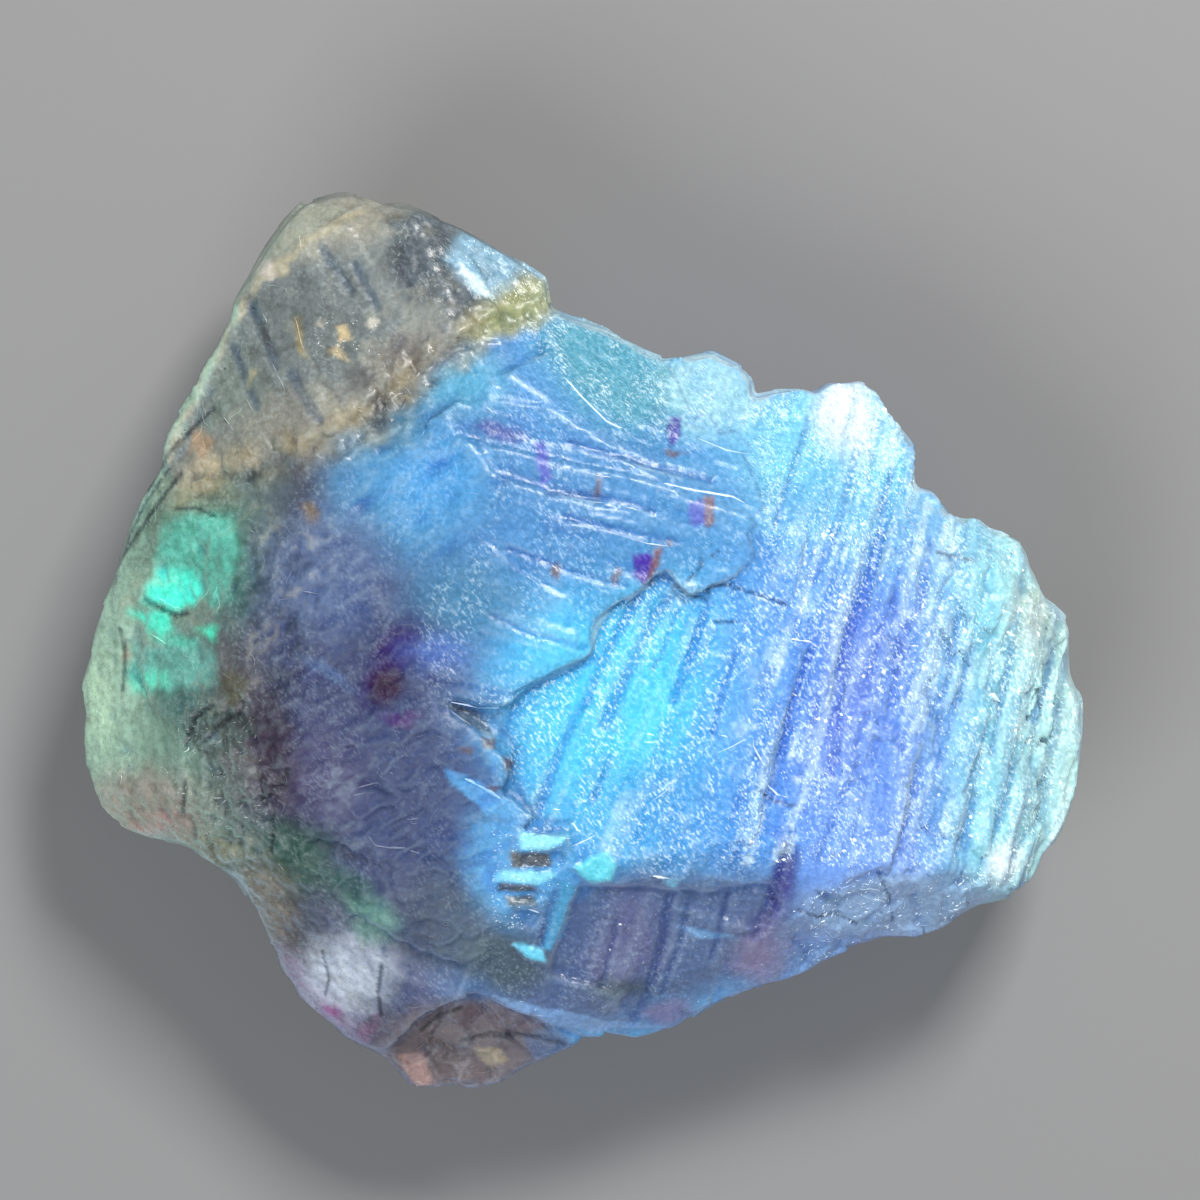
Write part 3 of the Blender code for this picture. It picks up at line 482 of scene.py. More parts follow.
def dense_copy(source):
    """A closed, evenly meshed copy of the solid."""
    mesh = source.data.copy()
    bm = bmesh.new()
    bm.from_mesh(mesh)
    bmesh.ops.remove_doubles(bm, verts=bm.verts[:], dist=1e-7)
    bm.to_mesh(mesh)
    bm.free()
    helper = bpy.data.objects.new("dense_helper", mesh)
    bpy.context.scene.collection.objects.link(helper)
    remesh = helper.modifiers.new("Voxels", "REMESH")
    remesh.mode = "VOXEL"
    remesh.voxel_size = VOXEL * MM
    graph = bpy.context.evaluated_depsgraph_get()
    dense = bpy.data.meshes.new_from_object(helper.evaluated_get(graph))
    bpy.data.objects.remove(helper)
    bpy.data.meshes.remove(mesh)
    return dense


def read_points(mesh):
    flat = np.empty(len(mesh.vertices) * 3, np.float32)
    mesh.vertices.foreach_get("co", flat)
    return flat.reshape(-1, 3).astype(float) / MM


def read_normals(mesh):
    flat = np.empty(len(mesh.vertices) * 3, np.float32)
    mesh.vertex_normals.foreach_get("vector", flat)
    return flat.reshape(-1, 3).astype(float)


def read_edges(mesh):
    flat = np.empty(len(mesh.edges) * 2, np.int32)
    mesh.edges.foreach_get("vertices", flat)
    return flat.reshape(-1, 2)


def write_points(mesh, points):
    mesh.vertices.foreach_set("co", (points * MM).astype(np.float32).ravel())
    mesh.update()


def neighbour_mean(values, edges, count):
    """The mean of each point's neighbours. values has one column for each quantity."""
    here, there = np.concatenate([edges, edges[:, ::-1]]).T
    degree = np.maximum(np.bincount(here, minlength=count), 1)
    columns = [np.bincount(here, weights=column[there], minlength=count) for column in values.T]
    return np.stack(columns, axis=1) / degree[:, None]


def relax(points, edges, weight, rounds):
    """Rounds off the points where weight is above 0."""
    for _ in range(rounds):
        points = mix(points, neighbour_mean(points, edges, len(points)), weight[:, None])
    return points


def growth(x, y, lean, narrow, wide, length, seed):
    """Strips that lean by lean in x for each y."""
    return strips(x - lean * y, y + lean * x, narrow, wide, length, seed)


def drawn_out(points):
    """The points squeezed along a gentle slope, so that noise on them runs in ropes along it."""
    x, y, z = points.T
    return np.stack([0.45 * (x + 0.5 * y), y - 0.5 * x, z], axis=1)


def relief(points, normals):
    """Height of the fine relief at each point, in mm along its normal."""
    x, y, z = points[:, 0], points[:, 1], points[:, 2]
    drift = noise(points, 1.8, 11)
    wave = noise(points, 0.5, 12)
    wx, wy = x + 0.12 * drift + 0.04 * wave, y + 0.1 * drift + 0.05 * wave
    rope = drawn_out(points)
    up = smoothstep(0.25, 0.6, normals[:, 2])
    back = 1.0 - smoothstep(-0.2, 0.3, normals[:, 2])
    side = (1.0 - up) * (1.0 - back)
    flank = area(x, y, FLANK) * up
    face = area(x, y, MAIN_FACE) * up
    plates = area(x, y, PLATES) * up
    teal = area(x, y, TEAL_FACET, 0.3) * up
    band = area(x, y, LOWER_BAND) * up
    glassy = area(x, y, GLASSY_CORNER) * up
    grey = area(x, y, GREY_MASS) * up
    frosted = area(x, y, FROSTED_TOP, 0.4) * up
    smooth = area(x, y, SMOOTH_LEFT, 1.2) * up
    slate = area(x, y, SLATE, 1.0) * up
    mottled = area(x, y, MOTTLED, 0.8) * up
    tip = area(x, y, TIP, 0.4) * up
    seam = (1.0 - smoothstep(0.5, 2.1, line_distance(wx, wy, SEAM))) * up

    height = 0.03 * fractal(points, 2.6, 20)
    height += flank * 0.22 * growth(wx, wy, FLANK_LEAN, 0.5, 1.5, 8.0, 31)
    height += flank * 0.16 * growth(wx, wy, FLANK_LEAN + 0.02, 0.2, 0.6, 3.0, 33)
    height += face * 0.12 * growth(wx, wy, FACE_LEAN, 0.4, 1.6, 6.0, 41)
    height += face * 0.06 * growth(wx, wy, FACE_LEAN - 0.03, 0.25, 0.6, 2.0, 43)
    height += plates * 0.12 * strips(wy - PLATE_FALL * wx, wx, 0.35, 1.1, 3.6, 51)
    height += plates * 0.05 * strips(wy - PLATE_FALL * wx, wx, 0.2, 0.4, 1.4, 53)
    height += teal * 0.04 * strips(wx + 1.1 * wy, wy, 0.3, 0.9, 3.0, 55)
    height += band * 0.15 * growth(wx, wy, BAND_LEAN, 0.4, 1.3, 5.0, 61)
    height += (flank + 0.7 * face + 0.4 * plates) * facets(x, y, 0.55, 0.09, 75)
    height += frosted * 0.045 * noise(np.stack([x + 0.5 * y, 0.4 * (y - 0.5 * x), z], axis=1), 0.28, 101)
    height += grey * (0.05 * fractal(points, 1.2, 111) + 0.05 * ridges(points, 2.0, 113, 3))
    height += 0.12 * up * (1.0 - smoothstep(0.15, 0.6, line_distance(wx, wy, BROW)))
    height += grey * 0.13 * growth(wx, wy, GREY_LEAN, 0.5, 1.8, 3.0, 115)
    height += seam * (0.12 * (ridges(points, 0.9, 121) - 0.4) + facets(x, y, 1.0, 0.26, 123))
    height += smooth * (0.08 * fractal(points, 2.0, 131) + 0.12 * (ridges(points, 0.9, 133, 3) - 0.5))
    height += slate * (0.05 * fractal(points, 1.4, 135) + 0.17 * (ridges(rope, 0.9, 137, 3) - 0.5))
    height += oval(x, y, *BOWL) * up * 0.12 * (ridges(rope, 1.1, 245, 3) - 0.5)
    height += mottled * (0.14 * (ridges(points, 0.8, 139) - 0.5) + facets(x, y, 0.9, 0.3, 143))
    height += glassy * facets(x, y, 1.4, 0.3, 141)
    height += tip * (facets(x, y, 1.5, 0.22, 151) + 0.03 * (ridges(points, 0.9, 153) - 0.5))
    height += flank * smoothstep(13.0, 18.0, x) * facets(wx, 0.5 * wy, 1.2, 0.4, 155)
    height += (back + side) * (facets(x - 0.3 * y, y + z, 2.2, 0.1, 161) + 0.05 * fractal(points, 1.1, 163))
    height += side * 0.10 * strips(z + 0.12 * x, x + y, 0.4, 1.4, 7.0, 167)
    height -= up * (0.09 * strokes(wx, wy, DARK_STRIPES) + 0.05 * strokes(x, y, CRACKS))
    return np.clip(height, -RELIEF_LIMIT, RELIEF_LIMIT)


def crystal_mesh(source):
    """The dense copy with the fine relief on it, under the triangle limit and inside the solid's own box."""
    mesh = dense_copy(source)
    points, edges = read_points(mesh), read_edges(mesh)
    x, y, z = points.T
    low, high = np.array(cad_box) / MM
    above = smoothstep(4.0, 8.0, z)
    soft = area(x, y, SMOOTH_LEFT, 2.0) * above
    slate = area(x, y, SLATE, 1.5) * above
    ledge = (1.0 - smoothstep(0.8, 2.4, line_distance(x, y, LEDGE))) * above
    grooves = smoothstep(15.0, 19.0, x) * above
    points = relax(points, edges, np.clip(0.05 + 0.5 * soft + 0.45 * slate, 0.0, 0.6), 8)
    points = relax(points, edges, np.clip(0.65 * ledge + 0.3 * grooves, 0.0, 0.65), 36)
    write_points(mesh, points)
    normals = read_normals(mesh)
    points = points + normals * relief(points, normals)[:, None]
    write_points(mesh, np.clip(points, low, high))
    mesh = thinned(mesh)
    write_points(mesh, np.clip(read_points(mesh), low, high))
    return mesh


def thinned(mesh):
    """The mesh under the triangle limit. Only the sides and the back lose triangles."""
    helper = bpy.data.objects.new("thinning_helper", mesh)
    bpy.context.scene.collection.objects.link(helper)
    points, normals = read_points(mesh), read_normals(mesh)
    loose = np.nonzero((normals[:, 2] < 0.35) | (points[:, 2] < GIRDLE_HEIGHT))[0]
    group = helper.vertex_groups.new(name="loose")
    group.add(loose.tolist(), 1.0, "REPLACE")
    decimate = helper.modifiers.new("Fewer", "DECIMATE")
    decimate.vertex_group = group.name
    triangles = sum(len(face.vertices) - 2 for face in mesh.polygons)
    decimate.ratio = min(1.0, MOST_TRIANGLES / triangles)
    decimate.use_collapse_triangulate = True
    graph = bpy.context.evaluated_depsgraph_get()
    thin = bpy.data.meshes.new_from_object(helper.evaluated_get(graph))
    bpy.data.objects.remove(helper)
    bpy.data.meshes.remove(mesh)
    return thin


def linear(code):
    """Linear red, green and blue of a colour code such as #4CC4F4."""
    values = np.array([int(code[k:k + 2], 16) / 255.0 for k in (1, 3, 5)])
    return np.where(values <= 0.04045, values / 12.92, ((values + 0.055) / 1.055) ** 2.4)


# Colour of the crystal from its green end to its pale end: x, colour.
LENGTHWISE = [
    (-25.0, "#8FAE98"), (-19.0, "#6E8F7F"), (-14.0, "#4E5563"), (-8.0, "#525C82"), (-3.0, "#4F96D2"),
    (5.0, "#55B8F0"), (11.0, "#74A4F2"), (16.0, "#7EA6EE"), (20.0, "#88D2E2"), (25.0, "#CCF4E4"),
]

# Colour zones by name: centre, radii, turn, colour, strength, softness. Later ones lie over earlier ones.
# A few of them are painted highlights, each marked where it stands.
ZONES = {
    "upper_right": ((12.4, 8.6), (4.8, 5.4), 0, "#76D8EC", 0.85, 0.6),
    "main_face": ((2.0, -2.4), (5.2, 6.2), -20, "#50D2FA", 0.95, 0.6),
    "main_shade": ((5.0, -8.2), (4.0, 2.4), -10, "#348CD0", 0.7, 0.6),
    "right_centre": ((10.2, -1.5), (4.2, 8.5), -15, "#5498E4", 0.8, 0.6),
    "violet_tint": ((12.9, -2.5), (1.8, 4.6), -15, "#8A86E6", 0.4, 0.8),
    "plates": ((0.9, 6.6), (7.6, 4.8), -10, "#4A86BC", 0.85, 0.5),
    "teal": ((-5.6, 2.1), (2.8, 2.2), 0, "#4080A6", 0.85, 0.7),
    "bowl": ((-8.4, 8.1), (3.9, 4.1), 0, "#4A8EBE", 0.9, 0.4),
    "bowl_glow": ((-7.4, 8.0), (2.2, 2.2), 0, "#4FA4E4", 0.7, 0.7),
    "bowl_top": ((-9.8, 10.9), (3.2, 1.2), 32, "#4C7E96", 0.8, 0.6),
    "bowl_cyan": ((-5.6, 12.6), (1.8, 1.4), 0, "#5CB4D4", 0.7, 0.7),
    "teal_facet": ((1.7, 13.4), (4.2, 2.6), -35, "#4FA0B4", 0.9, 0.4),
    "top_lobe": ((6.3, 12.3), (2.3, 2.3), 0, "#A6DCE6", 0.8, 0.5),
    # Painted highlight: the key light's glare on the upper right, painted near white.
    "painted_glare": ((13.2, 11.2), (1.4, 1.9), -10, "#F2FCFC", 0.95, 0.8),
    "slate_violet": ((-12.6, -2.5), (5.6, 6.6), 20, "#3C446A", 0.9, 0.5),
    "slate_blue": ((-12.6, 3.4), (3.0, 2.8), 0, "#566C96", 0.8, 0.6),
    "lower_slate": ((-8.4, -8.0), (4.8, 3.6), -30, "#36446E", 0.85, 0.6),
    "low_dark": ((-6.2, -13.6), (3.4, 2.6), 0, "#3F4C5C", 0.85, 0.6),
    "brown_dark": ((-17.3, -3.7), (2.0, 4.6), 10, "#625C5A", 0.8, 0.6),
    "plum": ((-15.2, -5.6), (1.3, 3.0), 15, "#30203A", 0.9, 0.6),
    "maroon": ((-15.0, -6.5), (0.7, 1.2), 0, "#2C1A26", 0.8, 0.7),
    "plum_wide": ((-12.6, -6.4), (2.0, 2.2), 0, "#4A4068", 0.6, 0.7),
    "olive_ring": ((-17.1, -2.3), (0.8, 0.8), 0, "#5A5840", 0.7, 0.4),
    "left_sage": ((-24.1, -2.5), (2.4, 6.4), 0, "#A2C6AE", 0.9, 0.5),
    # Painted highlight: a pale green glint on the left rim.
    "painted_left_highlight": ((-24.4, -2.9), (1.0, 2.6), 0, "#C4E8C4", 0.7, 0.7),
    "left_foot": ((-22.4, -8.4), (3.6, 2.0), 0, "#A6988E", 0.85, 0.5),
    "foot_pink": ((-21.8, -9.5), (2.0, 0.8), 15, "#B88E88", 0.7, 0.6),
    "tan_rim": ((-19.0, -10.7), (2.2, 1.1), 15, "#8A7E5C", 0.7, 0.6),
    "green_deep": ((-17.7, 4.4), (1.3, 2.8), 5, "#2C7A68", 0.6, 0.6),
    "green_upper": ((-19.2, 5.2), (1.4, 1.3), 0, "#5CBCA4", 0.9, 0.5),
    "orange_spot": ((-22.3, -0.7), (0.5, 0.4), 0, "#B89A80", 0.8, 0.6),
    "left_teal": ((-19.9, -2.0), (1.6, 2.4), 10, "#3F6A66", 0.8, 0.6),
    "dark_green": ((-14.4, -10.6), (1.9, 1.8), -35, "#1F4F3C", 0.85, 0.6),
    "green_streak": ((-11.6, -12.3), (1.7, 0.8), -35, "#2C5C50", 0.85, 0.6),
    "sage_patch": ((-10.2, -13.8), (1.2, 1.0), -20, "#64988A", 0.8, 0.6),
    "low_margin": ((-15.3, -13.2), (1.2, 2.6), 20, "#7E7468", 0.8, 0.6),
    "lilac_rim": ((-13.4, -18.0), (3.0, 1.3), -45, "#9A86A6", 0.8, 0.6),
    "pale_glow": ((-11.7, -16.8), (1.9, 1.9), -20, "#D4DEEC", 0.95, 0.6),
    "magenta": ((-12.6, -18.4), (0.6, 0.45), 0, "#8E3A86", 0.85, 0.7),
    "magenta_low": ((-10.6, -19.2), (0.9, 0.3), 40, "#86567E", 0.7, 0.7),
    "lower_band": ((2.8, -15.0), (8.4, 3.8), 12, "#566488", 0.95, 0.3),
    "band_violet": ((2.2, -15.4), (1.6, 3.0), -15, "#6A668A", 0.7, 0.6),
    "band_low_dark": ((1.8, -17.7), (1.8, 0.8), 5, "#3E4C50", 0.8, 0.6),
    "band_green_grey": ((-4.0, -15.6), (2.4, 1.4), -10, "#4A5C5E", 0.8, 0.6),
    "glassy_corner": ((15.7, -13.2), (5.4, 1.9), 8, "#92AECA", 0.9, 0.4),
    "steel_strip": ((10.7, -16.3), (3.2, 0.9), 20, "#6C90BC", 0.85, 0.5),
    "violet_streak": ((9.6, -12.0), (0.7, 2.2), -15, "#3E3080", 0.85, 0.6),
    "rose_patch": ((8.9, -15.4), (1.3, 1.5), 0, "#927E9A", 0.75, 0.7),
    "low_slate": ((0.6, -18.4), (4.6, 0.8), -6, "#5C6C90", 0.7, 0.5),
    "lilac_low": ((4.3, -18.5), (1.2, 0.7), 15, "#8478A0", 0.8, 0.6),
    "comb": ((-3.4, -11.0), (2.0, 2.8), 10, "#58A8DC", 0.85, 0.5),
    "tip": ((-5.8, -20.4), (4.6, 2.3), 0, "#756563", 0.95, 0.3),
    # Painted highlight: a white glint on the lower right corner.
    "painted_corner_glint": ((21.0, -10.9), (0.9, 0.9), 0, "#F0FCF8", 0.9, 0.7),
    "ochre_tinge": ((22.4, 1.1), (1.0, 1.6), 0, "#C9C49A", 0.6, 0.8),
    "core": ((-9.2, -1.2), (2.5, 0.95), 58, "#26045A", 1.0, 0.4),
    "core_maroon": ((-9.5, -2.2), (0.6, 0.9), -20, "#300434", 1.0, 0.7),
    "core_halo": ((-7.2, -0.5), (1.4, 0.8), 0, "#5078D0", 0.5, 0.8),
    "core_small": ((-8.8, -3.8), (0.8, 0.35), 0, "#52266E", 0.8, 0.6),
    "indigo_spot": ((-13.4, -1.5), (0.7, 0.45), -30, "#242860", 0.8, 0.6),
    "light_vein": ((-12.5, -1.4), (1.5, 0.25), -36, "#5C82B4", 0.4, 0.8),
    "spot_plate_rust": ((3.3, 3.0), (0.2, 0.4), -30, "#6A3A3A", 0.8, 0.5),
    "spot_upper_edge": ((4.6, 9.2), (0.5, 0.22), 0, "#6A5060", 0.8, 0.6),
    "spot_left_top": ((-4.0, 10.3), (1.4, 0.35), -15, "#54509E", 0.7, 0.6),
    "fleck_1": ((-1.2, 3.4), (0.22, 0.36), 0, "#7A5A4A", 0.8, 0.6),
    "fleck_2": ((0.9, 7.3), (0.18, 0.6), -5, "#7A5A5A", 0.8, 0.5),
    "fleck_3": ((1.6, 3.2), (0.2, 0.25), 0, "#7A5A5A", 0.8, 0.6),
    "fleck_4": ((-13.4, 6.4), (0.4, 0.55), 0, "#8A7450", 0.7, 0.8),
}

# Painted glow: green light inside the crystal, painted into its colour: outline, colour, strength.
PAINTED_GLOW = [
    ([(-19.8, 6.3), (-17.2, 6.0), (-16.9, 4.2), (-17.4, 2.3), (-18.1, 1.5), (-19.1, 3.4), (-20.9, 3.3),
      (-21.1, 4.4)], "#62C4AE", 0.75),
    ([(-20.9, 3.4), (-19.2, 3.6), (-18.9, 2.3), (-20.0, 1.5), (-21.8, 2.1)], "#50FFE0", 1.0),
    ([(-22.4, 1.4), (-20.5, 1.5), (-20.2, 0.5), (-20.9, 0.1)], "#54F6D4", 1.0),
    ([(-19.0, 0.5), (-18.3, 0.7), (-18.4, 0.2)], "#38F0C4", 1.0),
    ([(-20.9, 0.1), (-19.2, -0.2), (-19.8, -0.6)], "#50E8C8", 0.9),
    ([(-22.3, -0.1), (-18.4, -0.4), (-18.2, -2.0), (-20.7, -2.7), (-22.4, -1.6)], "#6CB4A6", 0.8),
    ([(-22.5, -1.6), (-20.7, -1.4), (-20.6, -2.4), (-22.3, -2.4)], "#6CE8C8", 0.9),
]

# Crisp patches: outline, colour, strength.
PATCHES = [
    ([(-19.6, -3.4), (-18.2, -3.2), (-16.4, -3.6), (-16.2, -4.6), (-18.0, -5.9), (-19.4, -5.0)],
     "#35443F", 0.75),
    ([(-18.9, -4.9), (-17.9, -4.4), (-17.6, -5.3)], "#7C9494", 0.7),
    ([(-5.4, -9.0), (-3.0, -8.6), (-0.9, -9.0), (-1.4, -12.2), (-2.3, -13.0), (-4.0, -13.4)], "#4C9CD4", 0.6),
    ([(-3.0, -9.3), (-0.7, -9.4), (-0.6, -9.5), (-1.5, -10.1), (-2.9, -10.1)], "#90ECFC", 1.0),
    ([(-4.1, -11.2), (-1.3, -11.2), (-1.3, -11.4), (-2.3, -11.8), (-4.2, -11.7)], "#90E8FC", 1.0),
    ([(-3.5, -10.3), (-1.5, -10.2), (-1.3, -10.9), (-3.4, -11.0)], "#5C5648", 0.9),
    ([(-4.1, -11.8), (-2.3, -11.9), (-2.3, -12.2), (-4.0, -12.2)], "#5C584A", 0.9),
    ([(-3.8, -12.5), (-2.3, -12.4), (-2.2, -13.0), (-3.7, -13.0)], "#5A5C58", 0.85),
    ([(-0.9, -11.6), (0.0, -11.9), (-0.7, -13.5), (-1.5, -15.2), (-2.0, -15.1)], "#429CC8", 0.9),
    ([(-3.4, -14.9), (-2.0, -15.1), (-1.7, -15.9), (-2.8, -15.6)], "#70DCFA", 1.0),
    ([(-0.4, -10.9), (0.3, -10.5), (1.3, -10.2), (1.7, -11.0), (1.5, -11.6), (0.6, -11.8), (0.1, -11.4)],
     "#64DCEC", 1.0),
    ([(4.0, -11.5), (4.9, -11.6), (4.6, -12.2)], "#7CC4E0", 0.9),
    ([(4.6, -14.0), (6.6, -14.4), (7.6, -14.7), (5.8, -14.7)], "#7CB0DC", 0.7),
    ([(-6.8, -2.9), (-5.0, -3.3), (-4.2, -4.7), (-5.6, -4.0)], "#5E6A70", 0.7),
    ([(-4.9, -4.6), (-4.1, -4.8), (-4.3, -5.2), (-4.9, -5.1)], "#74564C", 0.8),
    ([(-6.1, -5.2), (-5.3, -5.2), (-5.4, -5.6)], "#6E5450", 0.8),
    ([(-3.8, -5.6), (-3.3, -5.9), (-3.5, -6.7)], "#745048", 0.8),
    ([(-4.9, -6.9), (-3.9, -7.0), (-4.2, -7.4)], "#6C585C", 0.8),
    ([(-6.6, -6.0), (-4.8, -6.9), (-3.4, -7.9), (-2.6, -9.0), (-4.6, -8.4), (-6.4, -7.0)], "#5AAEE8", 0.75),
    ([(-4.4, -17.5), (-2.3, -18.0), (-0.2, -18.5), (1.6, -18.9), (4.6, -19.3), (0.2, -19.4), (-2.7, -18.6)],
     "#7CA2D0", 0.95),
    ([(-5.6, -17.9), (-2.2, -18.5), (-1.4, -19.2), (-3.6, -19.5), (-6.4, -19.4)], "#6E5C62", 0.7),
    ([(-7.9, -19.4), (-6.2, -19.6), (-5.9, -21.2), (-7.6, -21.4)], "#5C4E4C", 0.6),
    ([(-3.0, -19.6), (-0.6, -19.8), (-0.2, -20.4), (-2.6, -20.9)], "#50648E", 0.8),
    ([(-5.4, -20.5), (-4.2, -20.3), (-3.6, -20.9), (-4.6, -21.4)], "#B4A484", 0.8),
    ([(-9.2, -20.8), (-8.0, -20.6), (-7.4, -22.2), (-8.4, -22.4)], "#B8948C", 0.8),
    ([(-15.9, 15.9), (-15.4, 15.7), (-15.3, 14.4), (-15.8, 14.9)], "#5E5850", 0.7),
    ([(-14.2, 16.0), (-13.8, 15.9), (-13.4, 13.9), (-13.9, 14.3)], "#988A62", 0.8),
    ([(-12.1, 15.4), (-11.6, 15.5), (-11.3, 14.8), (-11.9, 14.6)], "#DCC898", 0.9),
    ([(-12.6, 14.2), (-11.9, 14.5), (-11.3, 13.7), (-11.9, 13.9)], "#CCBC94", 0.8),
    ([(-10.6, 15.5), (-10.3, 15.9), (-9.9, 15.7), (-10.3, 15.3)], "#D8D2C4", 0.8),
    ([(-13.2, 15.6), (-12.8, 15.8), (-12.7, 15.4)], "#D0CCBC", 0.8),
    ([(-16.5, 13.5), (-16.1, 13.5), (-16.2, 12.5), (-16.5, 12.6)], "#B4B088", 0.8),
    ([(-6.2, 18.8), (-5.2, 18.0), (-4.2, 16.8), (-4.9, 17.0), (-5.8, 17.9)], "#DCF8FF", 0.9),
    ([(-16.3, 19.0), (-15.2, 18.9), (-15.2, 17.9), (-16.4, 18.2)], "#D8CCC0", 0.8),
    ([(-18.9, 13.0), (-18.2, 14.6), (-18.7, 14.8), (-19.6, 13.4)], "#C8CCB4", 0.7),
    ([(2.5, 4.3), (3.3, 4.4), (3.7, 3.6), (3.1, 2.8), (2.5, 3.2)], "#46169E", 0.95),
    ([(3.5, 4.5), (3.9, 4.6), (3.8, 3.7), (3.2, 2.8), (3.3, 3.5)], "#7E4A40", 0.85),
    ([(4.1, 5.0), (4.4, 4.9), (4.2, 4.5)], "#8E5A40", 0.8),
    ([(4.2, 11.0), (4.8, 11.0), (4.9, 10.1), (4.5, 9.6), (4.2, 10.2)], "#4C3CA4", 0.9),
    ([(5.9, 7.1), (6.4, 7.1), (6.4, 5.7), (6.0, 5.5)], "#8A5650", 0.85),
    ([(5.2, 6.8), (5.9, 6.9), (6.0, 5.7), (5.3, 5.8)], "#6658C4", 0.7),
    ([(-2.2, 9.7), (-1.7, 9.8), (-1.5, 8.0), (-1.9, 7.4), (-2.2, 8.6)], "#5C50C0", 0.7),
]

# Zones of the grey corner, in the same form as ZONES.
GREY_ZONES = {
    "grey_left": ((-17.4, 12.4), (2.6, 3.4), 30, "#7A887E", 0.6, 0.7),
    "grey_centre": ((-12.6, 15.6), (3.4, 3.6), 0, "#717979", 0.8, 0.6),
    "grey_brow": ((-12.2, 20.8), (3.6, 1.5), 20, "#A29E8E", 0.8, 0.6),
    "grey_low": ((-14.4, 10.8), (3.6, 1.3), 20, "#8E887C", 0.6, 0.7),
    "mauve": ((-8.6, 14.0), (2.2, 1.0), 30, "#5E565A", 0.7, 0.6),
    "cream_1": ((-18.5, 8.5), (0.8, 0.6), 0, "#C4B89A", 0.9, 0.6),
    "cream_2": ((-18.9, 9.7), (0.5, 0.7), 0, "#B89A7A", 0.85, 0.6),
    "cream_3": ((-19.4, 7.6), (0.8, 0.6), 0, "#C8BEA2", 0.9, 0.6),
    "cream_4": ((-16.4, 8.9), (0.9, 0.5), 0, "#AC9C80", 0.8, 0.6),
}


class Painter:
    """The colours of a set of points, which each call paints over or shades where its mask is above 0."""

    def __init__(self, points, normals):
        """Takes the points' own places, and bends them a lot and a little, so that painted edges wander."""
        x, y = points[:, 0], points[:, 1]
        self.points = points
        self.own = x, y
        self.bent = (
            x + 0.7 * fractal(points, 3.0, 201) + 0.22 * noise(points, 0.7, 205),
            y + 0.7 * fractal(points, 3.0, 202) + 0.22 * noise(points, 0.7, 206),
        )
        self.near = (
            x + 0.28 * noise(points, 0.9, 207) + 0.12 * noise(points, 0.35, 208),
            y + 0.28 * noise(points, 0.9, 209) + 0.12 * noise(points, 0.35, 210),
        )
        self.above = smoothstep(-0.1, 0.3, normals[:, 2]) * smoothstep(7.0, 9.0, points[:, 2])
        stops = np.array([place for place, _ in LENGTHWISE])
        shades = np.array([linear(code) for _, code in LENGTHWISE])
        self.colours = np.stack([np.interp(self.bent[0], stops, shades[:, k]) for k in range(3)], axis=1)

    def paint(self, mask, code, strength):
        self.colours = mix(self.colours, linear(code), np.clip(mask * strength, 0.0, 1.0)[:, None])

    def shade(self, mask, factors):
        self.colours = self.colours * mix(1.0, np.array(factors), np.clip(mask, 0.0, 1.0)[:, None])

    def paint_zones(self, zones, share):
        for centre, radii, turn, code, strength, soft in zones.values():
            x, y = self.near if max(radii) < 1.5 else self.bent
            self.paint(oval(x, y, centre, radii, turn, soft) * share, code, strength)


def paint_corner(painter, grey):
    """The grey corner, the frosted top beside it, the seam below them, the brow and the left rim."""
    points, above = painter.points, painter.above
    x, y = painter.bent
    near_x, near_y = painter.near
    painter.paint(grey, "#828987", 0.95)
    painter.paint_zones(GREY_ZONES, above * grey)
    painter.paint(area(x, y, FROSTED_TOP, 0.5) * above, "#4E575F", 0.9)
    painter.paint(area(x, y, FROSTED_EDGE, 0.6) * above, "#8FC0DC", 0.9)
    seam = (1.0 - smoothstep(0.3, 1.7, line_distance(x, y, SEAM))) * above
    painter.paint(seam * (0.7 + 0.6 * noise(points, 1.1, 211)), "#A09270", 0.8)
    painter.shade(seam * smoothstep(0.1, 0.5, fractal(points, 0.9, 213)), (0.45, 0.42, 0.42))
    painter.paint(seam * smoothstep(-7.0, -4.0, x), "#A3A470", 0.8)
    painter.paint(oval(x, y, (-3.2, 16.0), (1.8, 0.9), 25) * above, "#A0A472", 0.8)
    brow = line_distance(near_x, near_y, BROW)
    outer = inside(x, y, OUTER_CORNER)
    painter.paint(smoothstep(0.0, 0.5, brow) * outer * above, "#A8AE9C", 0.7)
    painter.paint((1.0 - smoothstep(0.08, 0.35, brow)) * above, "#BEB698", 0.8)
    rim = 1.0 - smoothstep(0.3, 0.8, line_distance(x, y, LEFT_RIM))
    painter.paint(rim * above * (0.6 + 0.6 * noise(points, 1.5, 215)), "#A2D2BC", 0.7)


def paint_marks(painter, normals):
    """Painted glow for the green light inside, the crisp patches, and painted rim highlights where the
    surface tips away.
    """
    above = painter.above
    x, y = painter.bent
    near_x, near_y = painter.near
    # Painted glow: the green light inside, painted into the colour with a varying share.
    painted_glow_share = 1.1 + 0.5 * (ridges(painter.points, 0.8, 217, 3) - 0.4)
    for outline, code, strength in PAINTED_GLOW:
        painter.paint(area(near_x, near_y, outline, 0.45) * above * painted_glow_share, code, strength)
    crisp_x, crisp_y = mix(painter.own[0], near_x, 0.5), mix(painter.own[1], near_y, 0.5)
    for outline, code, strength in PATCHES:
        painter.paint(area(crisp_x, crisp_y, outline, 0.1) * above, code, strength)
    # Painted rim highlights: paler paint where the display face tips away towards its rims and step edges.
    edge = above * (1.0 - smoothstep(0.3, 0.8, normals[:, 2]))
    painter.paint(edge * smoothstep(-4.0, 2.0, x) * smoothstep(-12.0, -8.0, y), "#DCF8FC", 0.75)
    painter.paint(edge * smoothstep(-12.0, -18.0, x), "#BCE0CC", 0.6)
    painter.paint(edge * smoothstep(-8.0, -12.0, y), "#A8B4D4", 0.5)


